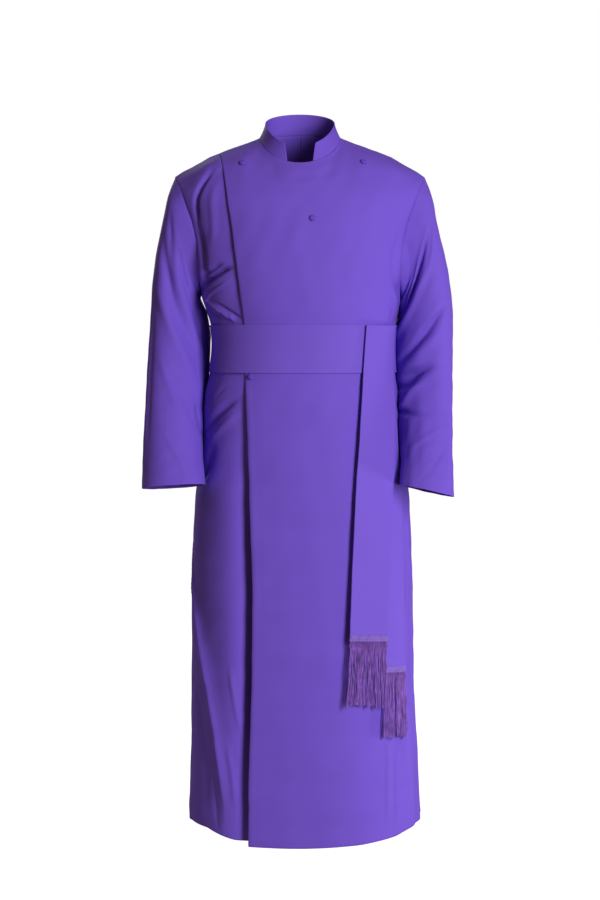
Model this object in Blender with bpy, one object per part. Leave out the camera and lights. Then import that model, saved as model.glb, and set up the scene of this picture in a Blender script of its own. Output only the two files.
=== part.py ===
"""A double-breasted clergy cassock with its fringed band cincture, worn and hollow.

Metres, +Z up, the front faces -Y and the wearer's left is +X. The origin is the middle of the neck
base, level with the points where the shoulder seams meet the collar: the shoulders carry the robe there.

Every cloth piece is a wall laid on one skin. The skin is a loft through the sections below. A place
on it has a share (0 at the centre line, -1 or 1 at the side seam or armhole) and a level, which is
the height below the neck base on the straight part of the body.
"""

import math
import random
from collections import namedtuple

import bmesh
import bpy
import numpy as np

# Cloth and seams
CLOTH = 0.0015
COLLAR_CLOTH = 0.0020
BAND_CLOTH = 0.0022
SEAM_GAP = 0.0004
COLLAR_GAP = 0.0007
LAYER_GAP = 0.0005

# Neck and shoulder
NECK_HALF_WIDTH = 0.083
NECK_FRONT = (-0.090, -0.0575)
NECK_SIDE_Y = 0.008
NECK_BACK = (0.076, 0.012)
NECK_SHARE = 0.44
SHOULDER_X = (0.083, 0.125, 0.155, 0.185, 0.215, 0.239, 0.256)
SHOULDER_Z = (0.000, -0.0150, -0.0255, -0.0375, -0.0540, -0.0675, -0.0790)
SHOULDER_Y = 0.012

# Cincture
BAND_TOP = -0.3815
BAND_BOTTOM = -0.4755
BAND_TURNS = 56
BAND_STAND = 0.0010

# Body sections from the hem up: half width and its shift to the left, centre front and back, the
# front and back edges at the side or armhole, the turn reached there, and the front opening's edge.
Section = namedtuple("Section", "level width shift front back front_edge back_edge wrap opening")
SECTIONS = (
    Section(-1.4090, 0.2400, 0.0100, -0.218, 0.200, 0.000, 0.000, 90, -0.1010),
    Section(-1.2700, 0.2350, 0.0085, -0.211, 0.190, 0.000, 0.000, 90, -0.0998),
    Section(-1.1000, 0.2295, 0.0055, -0.202, 0.176, 0.000, 0.000, 90, -0.0945),
    Section(-0.9000, 0.2270, 0.0045, -0.191, 0.162, 0.000, 0.000, 90, -0.0925),
    Section(-0.7200, 0.2180, 0.0045, -0.180, 0.150, 0.000, 0.000, 90, -0.0986),
    Section(-0.6000, 0.2040, 0.0035, -0.173, 0.139, 0.000, 0.000, 90, -0.1025),
    Section(-0.5200, 0.1975, 0.0020, -0.167, 0.126, 0.000, 0.000, 90, -0.1060),
    Section(-0.4780, 0.1895, 0.0015, -0.160, 0.113, 0.000, 0.000, 90, -0.1080),
    Section(-0.3780, 0.1875, 0.0010, -0.155, 0.107, 0.000, 0.000, 90, -0.1110),
    Section(-0.3480, 0.1965, 0.0005, -0.160, 0.116, 0.001, 0.001, 90, -0.1140),
    Section(-0.3200, 0.2020, 0.0000, -0.159, 0.121, 0.002, 0.002, 90, -0.1180),
    Section(-0.2960, 0.2040, 0.0000, -0.157, 0.124, -0.034, 0.040, 78, -0.1210),
    Section(-0.2000, 0.2110, 0.0000, -0.146, 0.128, -0.056, 0.066, 64, -0.1330),
    Section(-0.1200, 0.2360, 0.0000, -0.127, 0.117, -0.043, 0.057, 56, -0.1450),
)
ARMHOLE_LEVEL = -0.320
COLLARBONE_LEVEL = -0.055
TOP_LEVEL = 0.005
YOKE_OPENING = (-0.1560, -0.1620)
SQUARENESS = 2.25
SHOULDER_BULGE = 0.020
NECK_BULGE = 0.004
STATION_LEVELS = [section.level for section in SECTIONS] + [COLLARBONE_LEVEL, TOP_LEVEL]
# How far the corner at the neck point is rounded off, one station below it
CORNER_REACH = 0.15
CORNER_STEPS = (-0.14, -0.07, 0.0, 0.07, 0.14)

# Rows of points up a panel: level to level, and how many spaces between
ROW_BANDS = (
    (-1.4090, -0.9000, 8),
    (-0.9000, -0.5200, 7),
    (-0.5200, -0.4780, 1),
    (-0.4780, -0.3780, 2),
    (-0.3780, -0.3200, 2),
    (-0.3200, -0.1200, 8),
    (-0.1200, 0.0050, 4),
)

# Folds of the body cloth: turn is 0 at the centre front, 90 at the wearer's left side and 180 at
# the centre back. Height is out from the cloth, or in where negative, and half is the half width.
Fold = namedtuple("Fold", "turn level turn_low level_low half height bow open_low")
METRES_PER_DEGREE = 0.0036
BODY_FOLDS = (
    # armpit trough and the soft ridge beside it, on the right breast
    Fold(-66, -0.060, -88, -0.190, 0.011, -0.0085, -3, False),
    Fold(-86, -0.170, -80, -0.330, 0.014, -0.0080, 0, False),
    Fold(-57, -0.080, -70, -0.235, 0.014, 0.0040, 0, False),
    # drag folds from the right armpit to the opening
    Fold(-70, -0.315, -45, -0.268, 0.009, -0.0050, 0, False),
    Fold(-72, -0.318, -46, -0.364, 0.008, 0.0050, 0, False),
    Fold(-80, -0.342, -56, -0.372, 0.007, -0.0045, 0, False),
    # the same on the left breast, softer
    Fold(82, -0.190, 76, -0.345, 0.014, -0.0045, 0, False),
    Fold(66, -0.300, 74, -0.372, 0.010, 0.0030, 0, False),
    # hip drag folds under the band on the right
    Fold(-42, -0.505, -66, -0.585, 0.011, 0.0055, 0, False),
    Fold(-42, -0.545, -74, -0.640, 0.012, -0.0060, 0, False),
    Fold(-72, -0.490, -80, -0.560, 0.012, -0.0040, 0, False),
    # long skirt folds, right side of the front
    Fold(-76, -0.780, -44, -1.420, 0.016, 0.0085, -5, True),
    Fold(-62, -0.640, -64, -1.020, 0.013, 0.0060, 2, False),
    Fold(-60, -1.080, -56, -1.420, 0.011, -0.0050, 0, True),
    Fold(-88, -0.700, -84, -1.420, 0.020, -0.0060, 0, True),
    # long skirt folds, left side of the front
    Fold(72, -0.700, 74, -1.420, 0.013, 0.0070, 0, True),
    Fold(62, -1.060, 58, -1.420, 0.013, 0.0070, 0, True),
    Fold(82, -0.820, 84, -1.420, 0.013, -0.0060, 0, True),
    # back of the skirt
    Fold(104, -0.620, 102, -1.420, 0.020, 0.0080, 2, True),
    Fold(122, -0.560, 120, -1.420, 0.020, -0.0075, 0, True),
    Fold(141, -0.520, 142, -1.420, 0.021, 0.0090, -2, True),
    Fold(162, -0.600, 161, -1.420, 0.019, -0.0080, 0, True),
    Fold(-179, -0.530, 178, -1.420, 0.021, 0.0085, 2, True),
    Fold(-160, -0.560, -157, -1.420, 0.019, -0.0080, 0, True),
    Fold(-138, -0.520, -137, -1.420, 0.021, 0.0090, 2, True),
    Fold(-117, -0.640, -118, -1.420, 0.019, -0.0070, 0, True),
    Fold(-101, -0.560, -103, -1.420, 0.018, 0.0065, 0, True),
    # back of the body, bloused over the band
    Fold(112, -0.250, 128, -0.372, 0.013, 0.0055, 0, False),
    Fold(150, -0.280, 156, -0.372, 0.012, 0.0045, 0, False),
    Fold(-176, -0.200, -174, -0.372, 0.014, -0.0045, 0, False),
    Fold(-146, -0.270, -152, -0.372, 0.012, 0.0045, 0, False),
    Fold(-112, -0.240, -126, -0.372, 0.013, 0.0055, 0, False),
    Fold(98, -0.200, 112, -0.310, 0.014, -0.0050, 0, False),
    Fold(-98, -0.200, -112, -0.310, 0.014, -0.0050, 0, False),
)
BAND_CALM = 0.014

# How much higher than the lowest section each panel's hem hangs, by share
UNDER_HEM = ((-1.0, 0.010), (-0.8, 0.021), (-0.6, 0.022), (-0.4, 0.008), (0.0, 0.004))
OVER_HEM = ((-0.4, 0.0), (0.0, 0.0), (0.3, 0.003), (0.55, 0.009), (0.75, 0.020), (1.0, 0.009))
BACK_HEM = ((-1.0, 0.010), (-0.5, 0.016), (0.0, 0.006), (0.5, 0.014), (1.0, 0.009))
HEM_REACH = 0.30

# The under front lies back from the opening: depth beside the edge by level, and how wide it is
RECESS_LEVELS = (-1.410, -1.100, -0.800, -0.520, -0.476, -0.378, -0.300, -0.160, -0.080, 0.005)
RECESS_DEPTHS = (0.0090, 0.0130, 0.0110, 0.0060, 0.0006, 0.0006, 0.0045, 0.0035, 0.0010, 0.0002)
RECESS_WIDTH = 0.034
UNDERLAP = 0.085
OPENING_LIFT = 0.0025

# Spaces between points across the panels, knot to knot
LAP_SPACES = 4
UNDER_SPACES = 11
OVER_SPACES = (14, 8)
BACK_SPACES = (6, 7)

# Sleeve rings from the armhole down: outer and inner points, middle depth, half depth, front lift
Ring = namedtuple("Ring", "outer_x outer_z inner_x inner_z mid_y half_y lift")
LEFT_RINGS = (
    Ring(0.2680, -0.1150, 0.2085, -0.3330, 0.004, 0.0640, 0.000),
    Ring(0.2790, -0.1680, 0.2080, -0.3440, 0.002, 0.0690, 0.000),
    Ring(0.2935, -0.2300, 0.2070, -0.3600, 0.000, 0.0710, 0.000),
    Ring(0.3065, -0.2920, 0.2060, -0.3850, -0.002, 0.0700, 0.000),
    Ring(0.3120, -0.3600, 0.2060, -0.4200, -0.006, 0.0680, 0.001),
    Ring(0.3110, -0.4500, 0.2070, -0.4800, -0.018, 0.0660, 0.002),
    Ring(0.3085, -0.5500, 0.2080, -0.5600, -0.050, 0.0640, 0.004),
    Ring(0.3065, -0.6400, 0.2080, -0.6350, -0.092, 0.0600, 0.005),
    Ring(0.3065, -0.7220, 0.1970, -0.6980, -0.132, 0.0570, 0.006),
)
RIGHT_RINGS = (
    Ring(0.2680, -0.1150, 0.2085, -0.3330, 0.004, 0.0640, 0.000),
    Ring(0.2800, -0.1680, 0.2080, -0.3440, 0.002, 0.0690, 0.000),
    Ring(0.2930, -0.2300, 0.2065, -0.3600, 0.000, 0.0710, 0.000),
    Ring(0.3005, -0.2920, 0.2030, -0.3850, -0.002, 0.0700, 0.000),
    Ring(0.3030, -0.3600, 0.1995, -0.4200, -0.006, 0.0680, 0.001),
    Ring(0.3090, -0.4700, 0.1985, -0.4900, -0.022, 0.0660, 0.003),
    Ring(0.3125, -0.5650, 0.2010, -0.5700, -0.055, 0.0650, 0.006),
    Ring(0.3150, -0.6500, 0.1990, -0.6400, -0.092, 0.0620, 0.008),
    Ring(0.3150, -0.7060, 0.1890, -0.6980, -0.125, 0.0600, 0.008),
)
RING_SQUARENESS = 2.15
EVEN_AT_RING = 5
UNDERARM_EASE = 1.5
SLEEVE_LENGTH = 0.62
SLEEVE_METRES_PER_DEGREE = 0.0010
SLEEVE_SPACES = 15

# Sleeve folds: turn 0 outside, 90 front, 180 inside, 270 back; along is 0 at the armhole, 1 at the cuff
SleeveFold = namedtuple("SleeveFold", "turn along turn_low along_low half height")
LEFT_SLEEVE_FOLDS = (
    SleeveFold(60, 0.10, 128, 0.40, 0.012, -0.0060),
    SleeveFold(22, 0.28, 120, 0.52, 0.012, -0.0055),
    SleeveFold(50, 0.36, 140, 0.62, 0.012, 0.0045),
    SleeveFold(96, 0.54, 168, 0.60, 0.011, -0.0090),
    SleeveFold(100, 0.68, 170, 0.72, 0.012, -0.0085),
    SleeveFold(92, 0.62, 165, 0.66, 0.010, 0.0050),
    SleeveFold(28, 0.60, 44, 0.98, 0.014, 0.0040),
    SleeveFold(300, 0.40, 230, 0.55, 0.014, -0.0060),
    SleeveFold(310, 0.60, 215, 0.68, 0.013, -0.0070),
    SleeveFold(330, 0.12, 262, 0.38, 0.014, -0.0050),
)
RIGHT_SLEEVE_FOLDS = (
    SleeveFold(66, 0.08, 84, 0.30, 0.012, -0.0060),
    SleeveFold(44, 0.26, 130, 0.60, 0.013, -0.0065),
    SleeveFold(40, 0.36, 118, 0.66, 0.014, 0.0050),
    SleeveFold(100, 0.12, 150, 0.42, 0.012, -0.0060),
    SleeveFold(18, 0.30, 22, 0.90, 0.012, 0.0035),
    SleeveFold(140, 0.66, 168, 0.80, 0.012, -0.0060),
    SleeveFold(300, 0.42, 225, 0.56, 0.014, -0.0060),
    SleeveFold(312, 0.62, 220, 0.70, 0.013, -0.0065),
    SleeveFold(332, 0.12, 262, 0.38, 0.014, -0.0050),
)

# Collar: its top edge stands on a smaller ring than the neckline
COLLAR_TOP_HALF_WIDTH = 0.0705
COLLAR_TOP_FRONT = (-0.0800, -0.0235)
COLLAR_TOP_SIDE = (0.0030, 0.0290)
COLLAR_TOP_BACK = (0.0680, 0.0540)
NOTCH_BASE_HALF = 0.0265
NOTCH_TOP_HALF = 0.0320
COLLAR_SPACES = (6, 9)
COLLAR_ROWS = 3
COLLAR_HOLLOW = 0.0012

# Falls of the cincture by level: left edge across the front, width, and how far the outside stands off
Fall = namedtuple("Fall", "level edge width off")
FRONT_FALL = (
    Fall(-1.2000, 0.0900, 0.0755, 0.0175),
    Fall(-0.9900, 0.0935, 0.0755, 0.0170),
    Fall(-0.9230, 0.0960, 0.0755, 0.0155),
    Fall(-0.7260, 0.1050, 0.0800, 0.0120),
    Fall(-0.6000, 0.1130, 0.0850, 0.0108),
    Fall(-0.4755, 0.1210, 0.0850, 0.0096),
    Fall(-0.3815, 0.1280, 0.0850, 0.0092),
)
REAR_FALL = (
    Fall(-1.2000, 0.1635, 0.0540, 0.0130),
    Fall(-0.9900, 0.1630, 0.0540, 0.0120),
    Fall(-0.9230, 0.1620, 0.0540, 0.0110),
    Fall(-0.7260, 0.1600, 0.0540, 0.0082),
    Fall(-0.6000, 0.1570, 0.0540, 0.0072),
    Fall(-0.4755, 0.1500, 0.0540, 0.0061),
    Fall(-0.3815, 0.1400, 0.0540, 0.0058),
)
FRONT_FALL_LIFT = 0.0035
FALL_SLANT = 0.0055
FRONT_FALL_END = -0.9890
REAR_FALL_END = -1.0570
FALL_SPACES = 14
HEADING_HEIGHT = 0.0120
HEADING_THICKNESS = 0.0030
FRONT_STRANDS = 34
REAR_STRANDS = 24
STRAND_LENGTH = 0.135
STRAND_JOINTS = 3
STRAND_WIDTH = 0.0015
STRAND_SLIP = 0.003
STRAND_SWAY = 0.0012
# How far each fringe spreads, as a share of its width, and the place across it that hangs plumb
FRONT_FLARE = (0.12, 0.80)
REAR_FLARE = (0.26, 0.45)

# Covered buttons: across the front, height, and how far the base stands off the smooth skin
Button = namedtuple("Button", "name x z stand")
BUTTONS = (
    Button("button_right_shoulder", -0.1150, -0.0570, 0.0001),
    Button("button_left_shoulder", 0.1270, -0.0550, 0.0005),
    Button("button_breast", 0.0230, -0.1700, 0.0007),
    Button("button_waist", -0.0975, -0.4835, 0.0008),
)
BUTTON_RADIUS = 0.0065
BUTTON_HEIGHT = 0.0042
BUTTON_SIDES = 14
# Reach and rise of the dome, as shares of the radius and height
BUTTON_PROFILE = ((0.86, 0.0), (1.0, 0.18), (0.93, 0.55), (0.66, 0.86), (0.28, 1.0))

PURPLE = (0.145, 0.075, 0.485, 1.0)
BAND_PURPLE = (0.155, 0.078, 0.500, 1.0)
FRINGE_PURPLE = (0.125, 0.050, 0.300, 1.0)


def smooth_step(value, low, high):
    """0 below low, 1 above high, and a smooth ramp between."""
    share = np.clip((value - low) / (high - low), 0.0, 1.0)
    return share * share * (3 - 2 * share)


def resampled(line, share):
    """Points of a dense line at these shares of its length."""
    steps = np.linalg.norm(np.diff(line, axis=0), axis=1)
    along = np.concatenate([[0.0], np.cumsum(steps)])
    return np.stack([np.interp(share * along[-1], along, line[:, k]) for k in range(3)], axis=-1)


def hermite(stations, points, at):
    """The smooth curve through points (stations first) at the places in at, which matches their shape."""
    stations = np.asarray(stations, float)
    points = np.broadcast_to(points, (len(stations), *at.shape, 3))
    gaps = np.diff(stations).reshape(-1, *[1] * (points.ndim - 1))
    slopes = np.diff(points, axis=0) / gaps
    tangents = np.concatenate([slopes[:1], slopes[1:], slopes[-1:]])
    tangents[1:-1] = (slopes[:-1] * gaps[1:] + slopes[1:] * gaps[:-1]) / (gaps[1:] + gaps[:-1])
    span = np.clip(np.searchsorted(stations, at, side="right") - 1, 0, len(stations) - 2)
    width = np.diff(stations)[span]
    t = ((at - stations[span]) / width)[..., None]
    width = width[..., None]

    def picked(values, index):
        return np.take_along_axis(values, index[None, ..., None], axis=0)[0]

    first, last = picked(points, span), picked(points, span + 1)
    start, end = picked(tangents, span) * width, picked(tangents, span + 1) * width
    return (
        first * (2 * t**3 - 3 * t**2 + 1)
        + start * (t**3 - 2 * t**2 + t)
        + last * (3 * t**2 - 2 * t**3)
        + end * (t**3 - t**2)
    )


def section_line(section, back):
    """Half a body section from the centre line to the side, as dense points."""
    power = 2 / SQUARENESS
    angle = np.radians(np.linspace(0, section.wrap, 240))
    reach, fall = np.sin(angle) ** power, np.maximum(np.cos(angle), 0) ** power
    middle, edge = (section.back, section.back_edge) if back else (section.front, section.front_edge)
    y = middle + (edge - middle) * (1 - fall) / (1 - fall[-1])
    return np.stack([section.width * reach / reach[-1], y, np.full_like(y, section.level)], axis=-1)


def neck_line(back):
    """The neckline from the centre line to the shoulder seam, as dense points."""
    middle = NECK_BACK if back else NECK_FRONT
    return ring_line(NECK_HALF_WIDTH, middle, (NECK_SIDE_Y, 0.0), back)


def shoulder_line():
    x = np.linspace(SHOULDER_X[0], SHOULDER_X[-1], 120)
    share = (x - x[0]) / (x[-1] - x[0])
    y = NECK_SIDE_Y + (SHOULDER_Y - NECK_SIDE_Y) * share
    return np.stack([x, y, np.interp(x, SHOULDER_X, SHOULDER_Z)], axis=-1)


def top_points(share, back):
    """Points of a panel's top edge: the neckline up to NECK_SHARE, then the shoulder seam."""
    on_neck = resampled(neck_line(back), np.clip(share / NECK_SHARE, 0, 1))
    on_shoulder = resampled(shoulder_line(), np.clip((share - NECK_SHARE) / (1 - NECK_SHARE), 0, 1))
    return np.where((share < NECK_SHARE)[..., None], on_neck, on_shoulder)


def rounded_top(share, back):
    """The top edge's points with its corner at the neck point rounded off."""
    total = 0
    for step in CORNER_STEPS:
        place = share + step
        points = top_points(np.abs(place), back)
        points[..., 0] *= np.where(place < 0, -1.0, 1.0)
        total = total + points / len(CORNER_STEPS)
    amount = np.exp(-(((share - NECK_SHARE) / CORNER_REACH) ** 2))[..., None]
    return top_points(share, back) * (1 - amount) + total * amount


def station_points(share, back):
    """Every section at these shares, bottom first, and the two that the shoulder adds."""
    amount = np.abs(share)
    rings = [resampled(section_line(section, back), amount) for section in SECTIONS]
    bulge = NECK_BULGE + (SHOULDER_BULGE - NECK_BULGE) * smooth_step(amount, 0.15, 0.60)
    bulge = bulge * (1 - 0.65 * smooth_step(amount, 0.75, 1.0))
    outward = np.array([0.0, 0.66 if back else -0.66, 0.75])
    between = (rings[-1] + rounded_top(amount, back)) / 2
    rings += [between + bulge[..., None] * outward, top_points(amount, back)]
    points = np.stack(rings)
    points[..., 0] *= np.where(share < 0, -1.0, 1.0)
    shifts = np.array([section.shift for section in SECTIONS] + [0.0, 0.0])
    points[..., 0] += shifts.reshape(-1, *[1] * share.ndim)
    return points


def fold_height(turn, level):
    """How far the folds stand out of the skin here."""
    total = np.zeros(np.broadcast(turn, level).shape)
    for fold in BODY_FOLDS:
        drop = (fold.level - level) / (fold.level - fold.level_low)
        inside = np.clip(drop, 0, 1)
        across = (fold.turn_low - fold.turn + 180) % 360 - 180
        middle = fold.turn + across * inside + fold.bow * 4 * inside * (1 - inside)
        away = ((turn - middle + 180) % 360 - 180) * METRES_PER_DEGREE
        fade = smooth_step(drop, -0.02, 0.30)
        if not fold.open_low:
            fade = fade * (1 - smooth_step(drop, 0.70, 1.02))
        total = total + fold.height * fade * np.exp(-((away / fold.half) ** 2))
    near_band = smooth_step(level, BAND_BOTTOM - BAND_CALM, BAND_BOTTOM - 0.002)
    near_band = near_band * (1 - smooth_step(level, BAND_TOP + 0.002, BAND_TOP + BAND_CALM))
    return total * (1 - near_band)


def body_skin(share, level, back=False, folded=True, offset=None):
    """Points of the skin, with its folds, moved out by offset(share, level) where one is given."""
    share, level = np.broadcast_arrays(np.asarray(share, float), np.asarray(level, float))

    def smooth(s, l):
        return hermite(STATION_LEVELS, station_points(s, back), l)

    points = smooth(share, level)
    step = 0.002
    across = smooth(np.minimum(share + step, 1), level) - smooth(np.maximum(share - step, -1), level)
    up = smooth(share, np.minimum(level + step, TOP_LEVEL)) - smooth(share, level - step)
    normal = squared(np.cross(up, across) if back else np.cross(across, up), share, level, back)
    turn = np.where(share < 0, -180, 180) - 90 * share if back else 90 * share
    height = fold_height(turn, level) if folded else np.zeros(share.shape)
    if offset is not None:
        height = height + offset(share, level)
    return points + normal * height[..., None]


def unit(vectors):
    return vectors / np.maximum(np.linalg.norm(vectors, axis=-1, keepdims=True), 1e-12)


def grid_normals(points, closed=False, flip=False):
    """Outward normals of a grid of points, rows first."""
    up = np.gradient(points, axis=0)
    if closed:
        across = np.roll(points, -1, axis=1) - np.roll(points, 1, axis=1)
    else:
        across = np.gradient(points, axis=1)
    normal = unit(np.cross(across, up))
    return -normal if flip else normal


def share_at_x(x, level):
    """The share where the smooth front has this x, for each level."""
    shares = np.linspace(-1, 1, 401)
    stations = station_points(shares, back=False)
    found = []
    for one_x, one_level in zip(x, level, strict=True):
        line = hermite(STATION_LEVELS, stations, np.full(401, one_level))
        found.append(np.interp(one_x, line[:, 0], shares))
    return np.array(found)


def quarter_girth(level, back=False):
    """Length of the smooth skin from the centre line to the side, for each level."""
    shares = np.linspace(0, 1, 60)
    stations = station_points(shares, back)
    found = []
    for one_level in level:
        line = hermite(STATION_LEVELS, stations, np.full(60, one_level))
        found.append(np.linalg.norm(np.diff(line, axis=0), axis=1).sum())
    return np.array(found)


def row_levels():
    rows = [ROW_BANDS[0][0]]
    for low, high, spaces in ROW_BANDS:
        rows += list(np.linspace(low, high, spaces + 1)[1:])
    return np.array(rows)


def opening_share(level):
    """The share of the opening's edge at each level."""
    edges = [section.opening for section in SECTIONS] + list(YOKE_OPENING)
    return share_at_x(np.interp(level, STATION_LEVELS, edges), level)


def material(name, colour, roughness=0.8):
    made = bpy.data.materials.new(name)
    made.use_nodes = True
    shader = made.node_tree.nodes["Principled BSDF"]
    shader.inputs["Base Color"].default_value = colour
    shader.inputs["Roughness"].default_value = roughness
    made.diffuse_color = colour
    return made


def finished(name, form, finish):
    """A bmesh made an object of its own, shaded smooth."""
    bmesh.ops.recalc_face_normals(form, faces=form.faces)
    mesh = bpy.data.meshes.new(name)
    form.to_mesh(mesh)
    form.free()
    mesh.shade_smooth()
    mesh.set_sharp_from_angle(angle=math.radians(40))
    mesh.materials.append(finish)
    made = bpy.data.objects.new(name, mesh)
    bpy.context.scene.collection.objects.link(made)
    return made


def cloth_wall(name, outer, inner, finish, closed=False):
    """A wall between two grids of points: its two faces, and a rim round every free edge."""
    form = bmesh.new()
    rows, columns = outer.shape[:2]
    layers = [[[form.verts.new(p) for p in row] for row in grid] for grid in (outer, inner)]
    last = columns if closed else columns - 1
    for i in range(rows - 1):
        for j in range(last):
            k = (j + 1) % columns
            front, rear = layers
            form.faces.new((front[i][j], front[i][k], front[i + 1][k], front[i + 1][j]))
            form.faces.new((rear[i][j], rear[i + 1][j], rear[i + 1][k], rear[i][k]))
    front, rear = layers
    for i, first in ((0, True), (rows - 1, False)):
        for j in range(last):
            k = (j + 1) % columns
            rim = (front[i][j], rear[i][j], rear[i][k], front[i][k])
            form.faces.new(rim if first else rim[::-1])
    if not closed:
        for i in range(rows - 1):
            for j, first in ((0, True), (columns - 1, False)):
                rim = (front[i][j], front[i + 1][j], rear[i + 1][j], rear[i][j])
                form.faces.new(rim if first else rim[::-1])
    return finished(name, form, finish)


def squared(normals, share, level, back):
    """Normals with no tilt across the seams, so that the two cloths there meet flush."""
    square = unit(normals)
    if back:
        square[..., 0] = np.where(np.abs(share) < 0.01, 0.0, square[..., 0])
    at_side = (np.abs(share) > 0.99) & (level < ARMHOLE_LEVEL + 0.001)
    at_shoulder = (level > TOP_LEVEL - 0.001) & (np.abs(share) > NECK_SHARE - 0.01)
    square[..., 1] = np.where(at_side | at_shoulder, 0.0, square[..., 1])
    return unit(square)


class Panel:
    """A body panel: its grid of points, rows from the hem up, and its normals."""

    def __init__(self, share, level, back=False, offset=None):
        self.share, self.level = np.broadcast_arrays(share, level)
        self.grid = body_skin(self.share, self.level, back=back, offset=offset)
        pull = (SEAM_GAP / 2) * (1 if back else -1)
        top = (self.level > TOP_LEVEL - 0.001) & (np.abs(self.share) > NECK_SHARE - 0.01)
        self.grid[..., 1] += np.where(top, pull, 0.0)
        normals = grid_normals(self.grid, flip=back)
        self.normals = squared(normals, self.share, self.level, back)

    def wall(self, name, finish):
        return cloth_wall(name, self.grid, self.grid - self.normals * CLOTH, finish)


class Sleeve:
    """A sleeve: rings of points from the armhole to the cuff, joined to two body panels."""

    def __init__(self, side, rings, folds, front, back):
        column = -1 if side > 0 else 0
        upper = np.flatnonzero(front.level[:, 0] > ARMHOLE_LEVEL - 0.001)
        down, up = upper[::-1], upper[1:-1]
        seam = np.concatenate([front.grid[down, column], back.grid[up, column]])
        seam_normals = np.concatenate([front.normals[down, column], back.normals[up, column]])
        turns = len(seam)
        even = np.arange(turns) / turns
        steps = np.linalg.norm(np.roll(seam, -1, axis=0) - seam, axis=1)
        by_length = np.concatenate([[0], np.cumsum(steps[:-1])]) / steps.sum()
        stations = [seam]
        for number, ring in enumerate(rings):
            evened = min(1.0, (number + 1) / EVEN_AT_RING)
            angle = 2 * np.pi * (by_length + (even - by_length) * evened)
            power = 2 / RING_SQUARENESS
            reach = np.sign(np.cos(angle)) * np.abs(np.cos(angle)) ** power
            bulge = np.sign(np.sin(angle)) * np.abs(np.sin(angle)) ** power
            outer = np.array([side * ring.outer_x, ring.mid_y, ring.outer_z])
            inner = np.array([side * ring.inner_x, ring.mid_y, ring.inner_z])
            line = (outer + inner) / 2 + reach[:, None] * (outer - inner) / 2
            line[:, 1] -= bulge * ring.half_y
            line[:, 2] += bulge * ring.lift
            stations.append(line)
        stations = np.stack(stations)
        underarm = (1 - np.cos(2 * np.pi * even)) / 2
        gap = SEAM_GAP * (1 + UNDERARM_EASE * underarm[:, None])
        stations[0] += unit(stations[1] - stations[0]) * gap
        lengths = np.linalg.norm(np.diff(stations, axis=0), axis=-1).mean(axis=1)
        along = np.concatenate([[0], np.cumsum(lengths)]) / lengths.sum()
        rows = np.linspace(0, 1, SLEEVE_SPACES + 1)
        at = np.repeat(rows[:, None], turns, axis=1)
        smooth = hermite(along, stations[:, None], at)
        out = grid_normals(smooth, closed=True, flip=side < 0)
        height = sleeve_fold_height(folds, 360 * even[None, :], at)
        self.grid = smooth + out * height[..., None]
        self.normals = grid_normals(self.grid, closed=True, flip=side < 0)
        shared = unit(self.normals[0] + seam_normals)
        self.normals[0] = shared
        front.normals[down, column] = shared[: len(down)]
        back.normals[down, column] = shared[[0, *range(turns - 1, len(down) - 2, -1)]]

    def wall(self, name, finish):
        return cloth_wall(name, self.grid, self.grid - self.normals * CLOTH, finish, closed=True)


def sleeve_fold_height(folds, turn, at):
    """How far a sleeve's folds stand out, by turn round the arm and share of the length."""
    height = np.zeros(np.broadcast(turn, at).shape)
    for fold in folds:
        drop = (at - fold.along) / (fold.along_low - fold.along)
        middle = fold.turn + (fold.turn_low - fold.turn) * np.clip(drop, 0, 1)
        away = ((turn - middle + 180) % 360 - 180) * SLEEVE_METRES_PER_DEGREE
        slant = (fold.turn_low - fold.turn) * SLEEVE_METRES_PER_DEGREE
        run = (fold.along_low - fold.along) * SLEEVE_LENGTH
        away = away * run / math.hypot(run, slant)
        fade = smooth_step(drop, -0.15, 0.25) * (1 - smooth_step(drop, 0.75, 1.15))
        height = height + fold.height * fade * np.exp(-((away / fold.half) ** 2))
    return height * smooth_step(at, 0.0, 0.10)


def ring_line(half_width, middle, side, back):
    """A quarter of a ring round the neck, from its front or back middle to its side."""
    angle = np.radians(np.linspace(0, 90, 120))
    fall = np.cos(angle) ** 0.95
    x = half_width * np.sin(angle) ** 0.95
    rise = fall if back else fall**1.3
    y = side[0] + (middle[0] - side[0]) * fall
    return np.stack([x, y, side[1] + (middle[1] - side[1]) * rise], axis=-1)


def ring_points(quarters, places):
    """Points of a ring: 0 at the front middle, 1 at the left side, 2 at the back, below 0 mirrored."""
    amount = np.abs(places)
    front = resampled(quarters[0], np.clip(amount, 0, 1))
    rear = resampled(quarters[1], np.clip(2 - amount, 0, 1))
    points = np.where((amount < 1)[:, None], front, rear)
    points[:, 0] *= np.where(places < 0, -1, 1)
    return points


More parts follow.
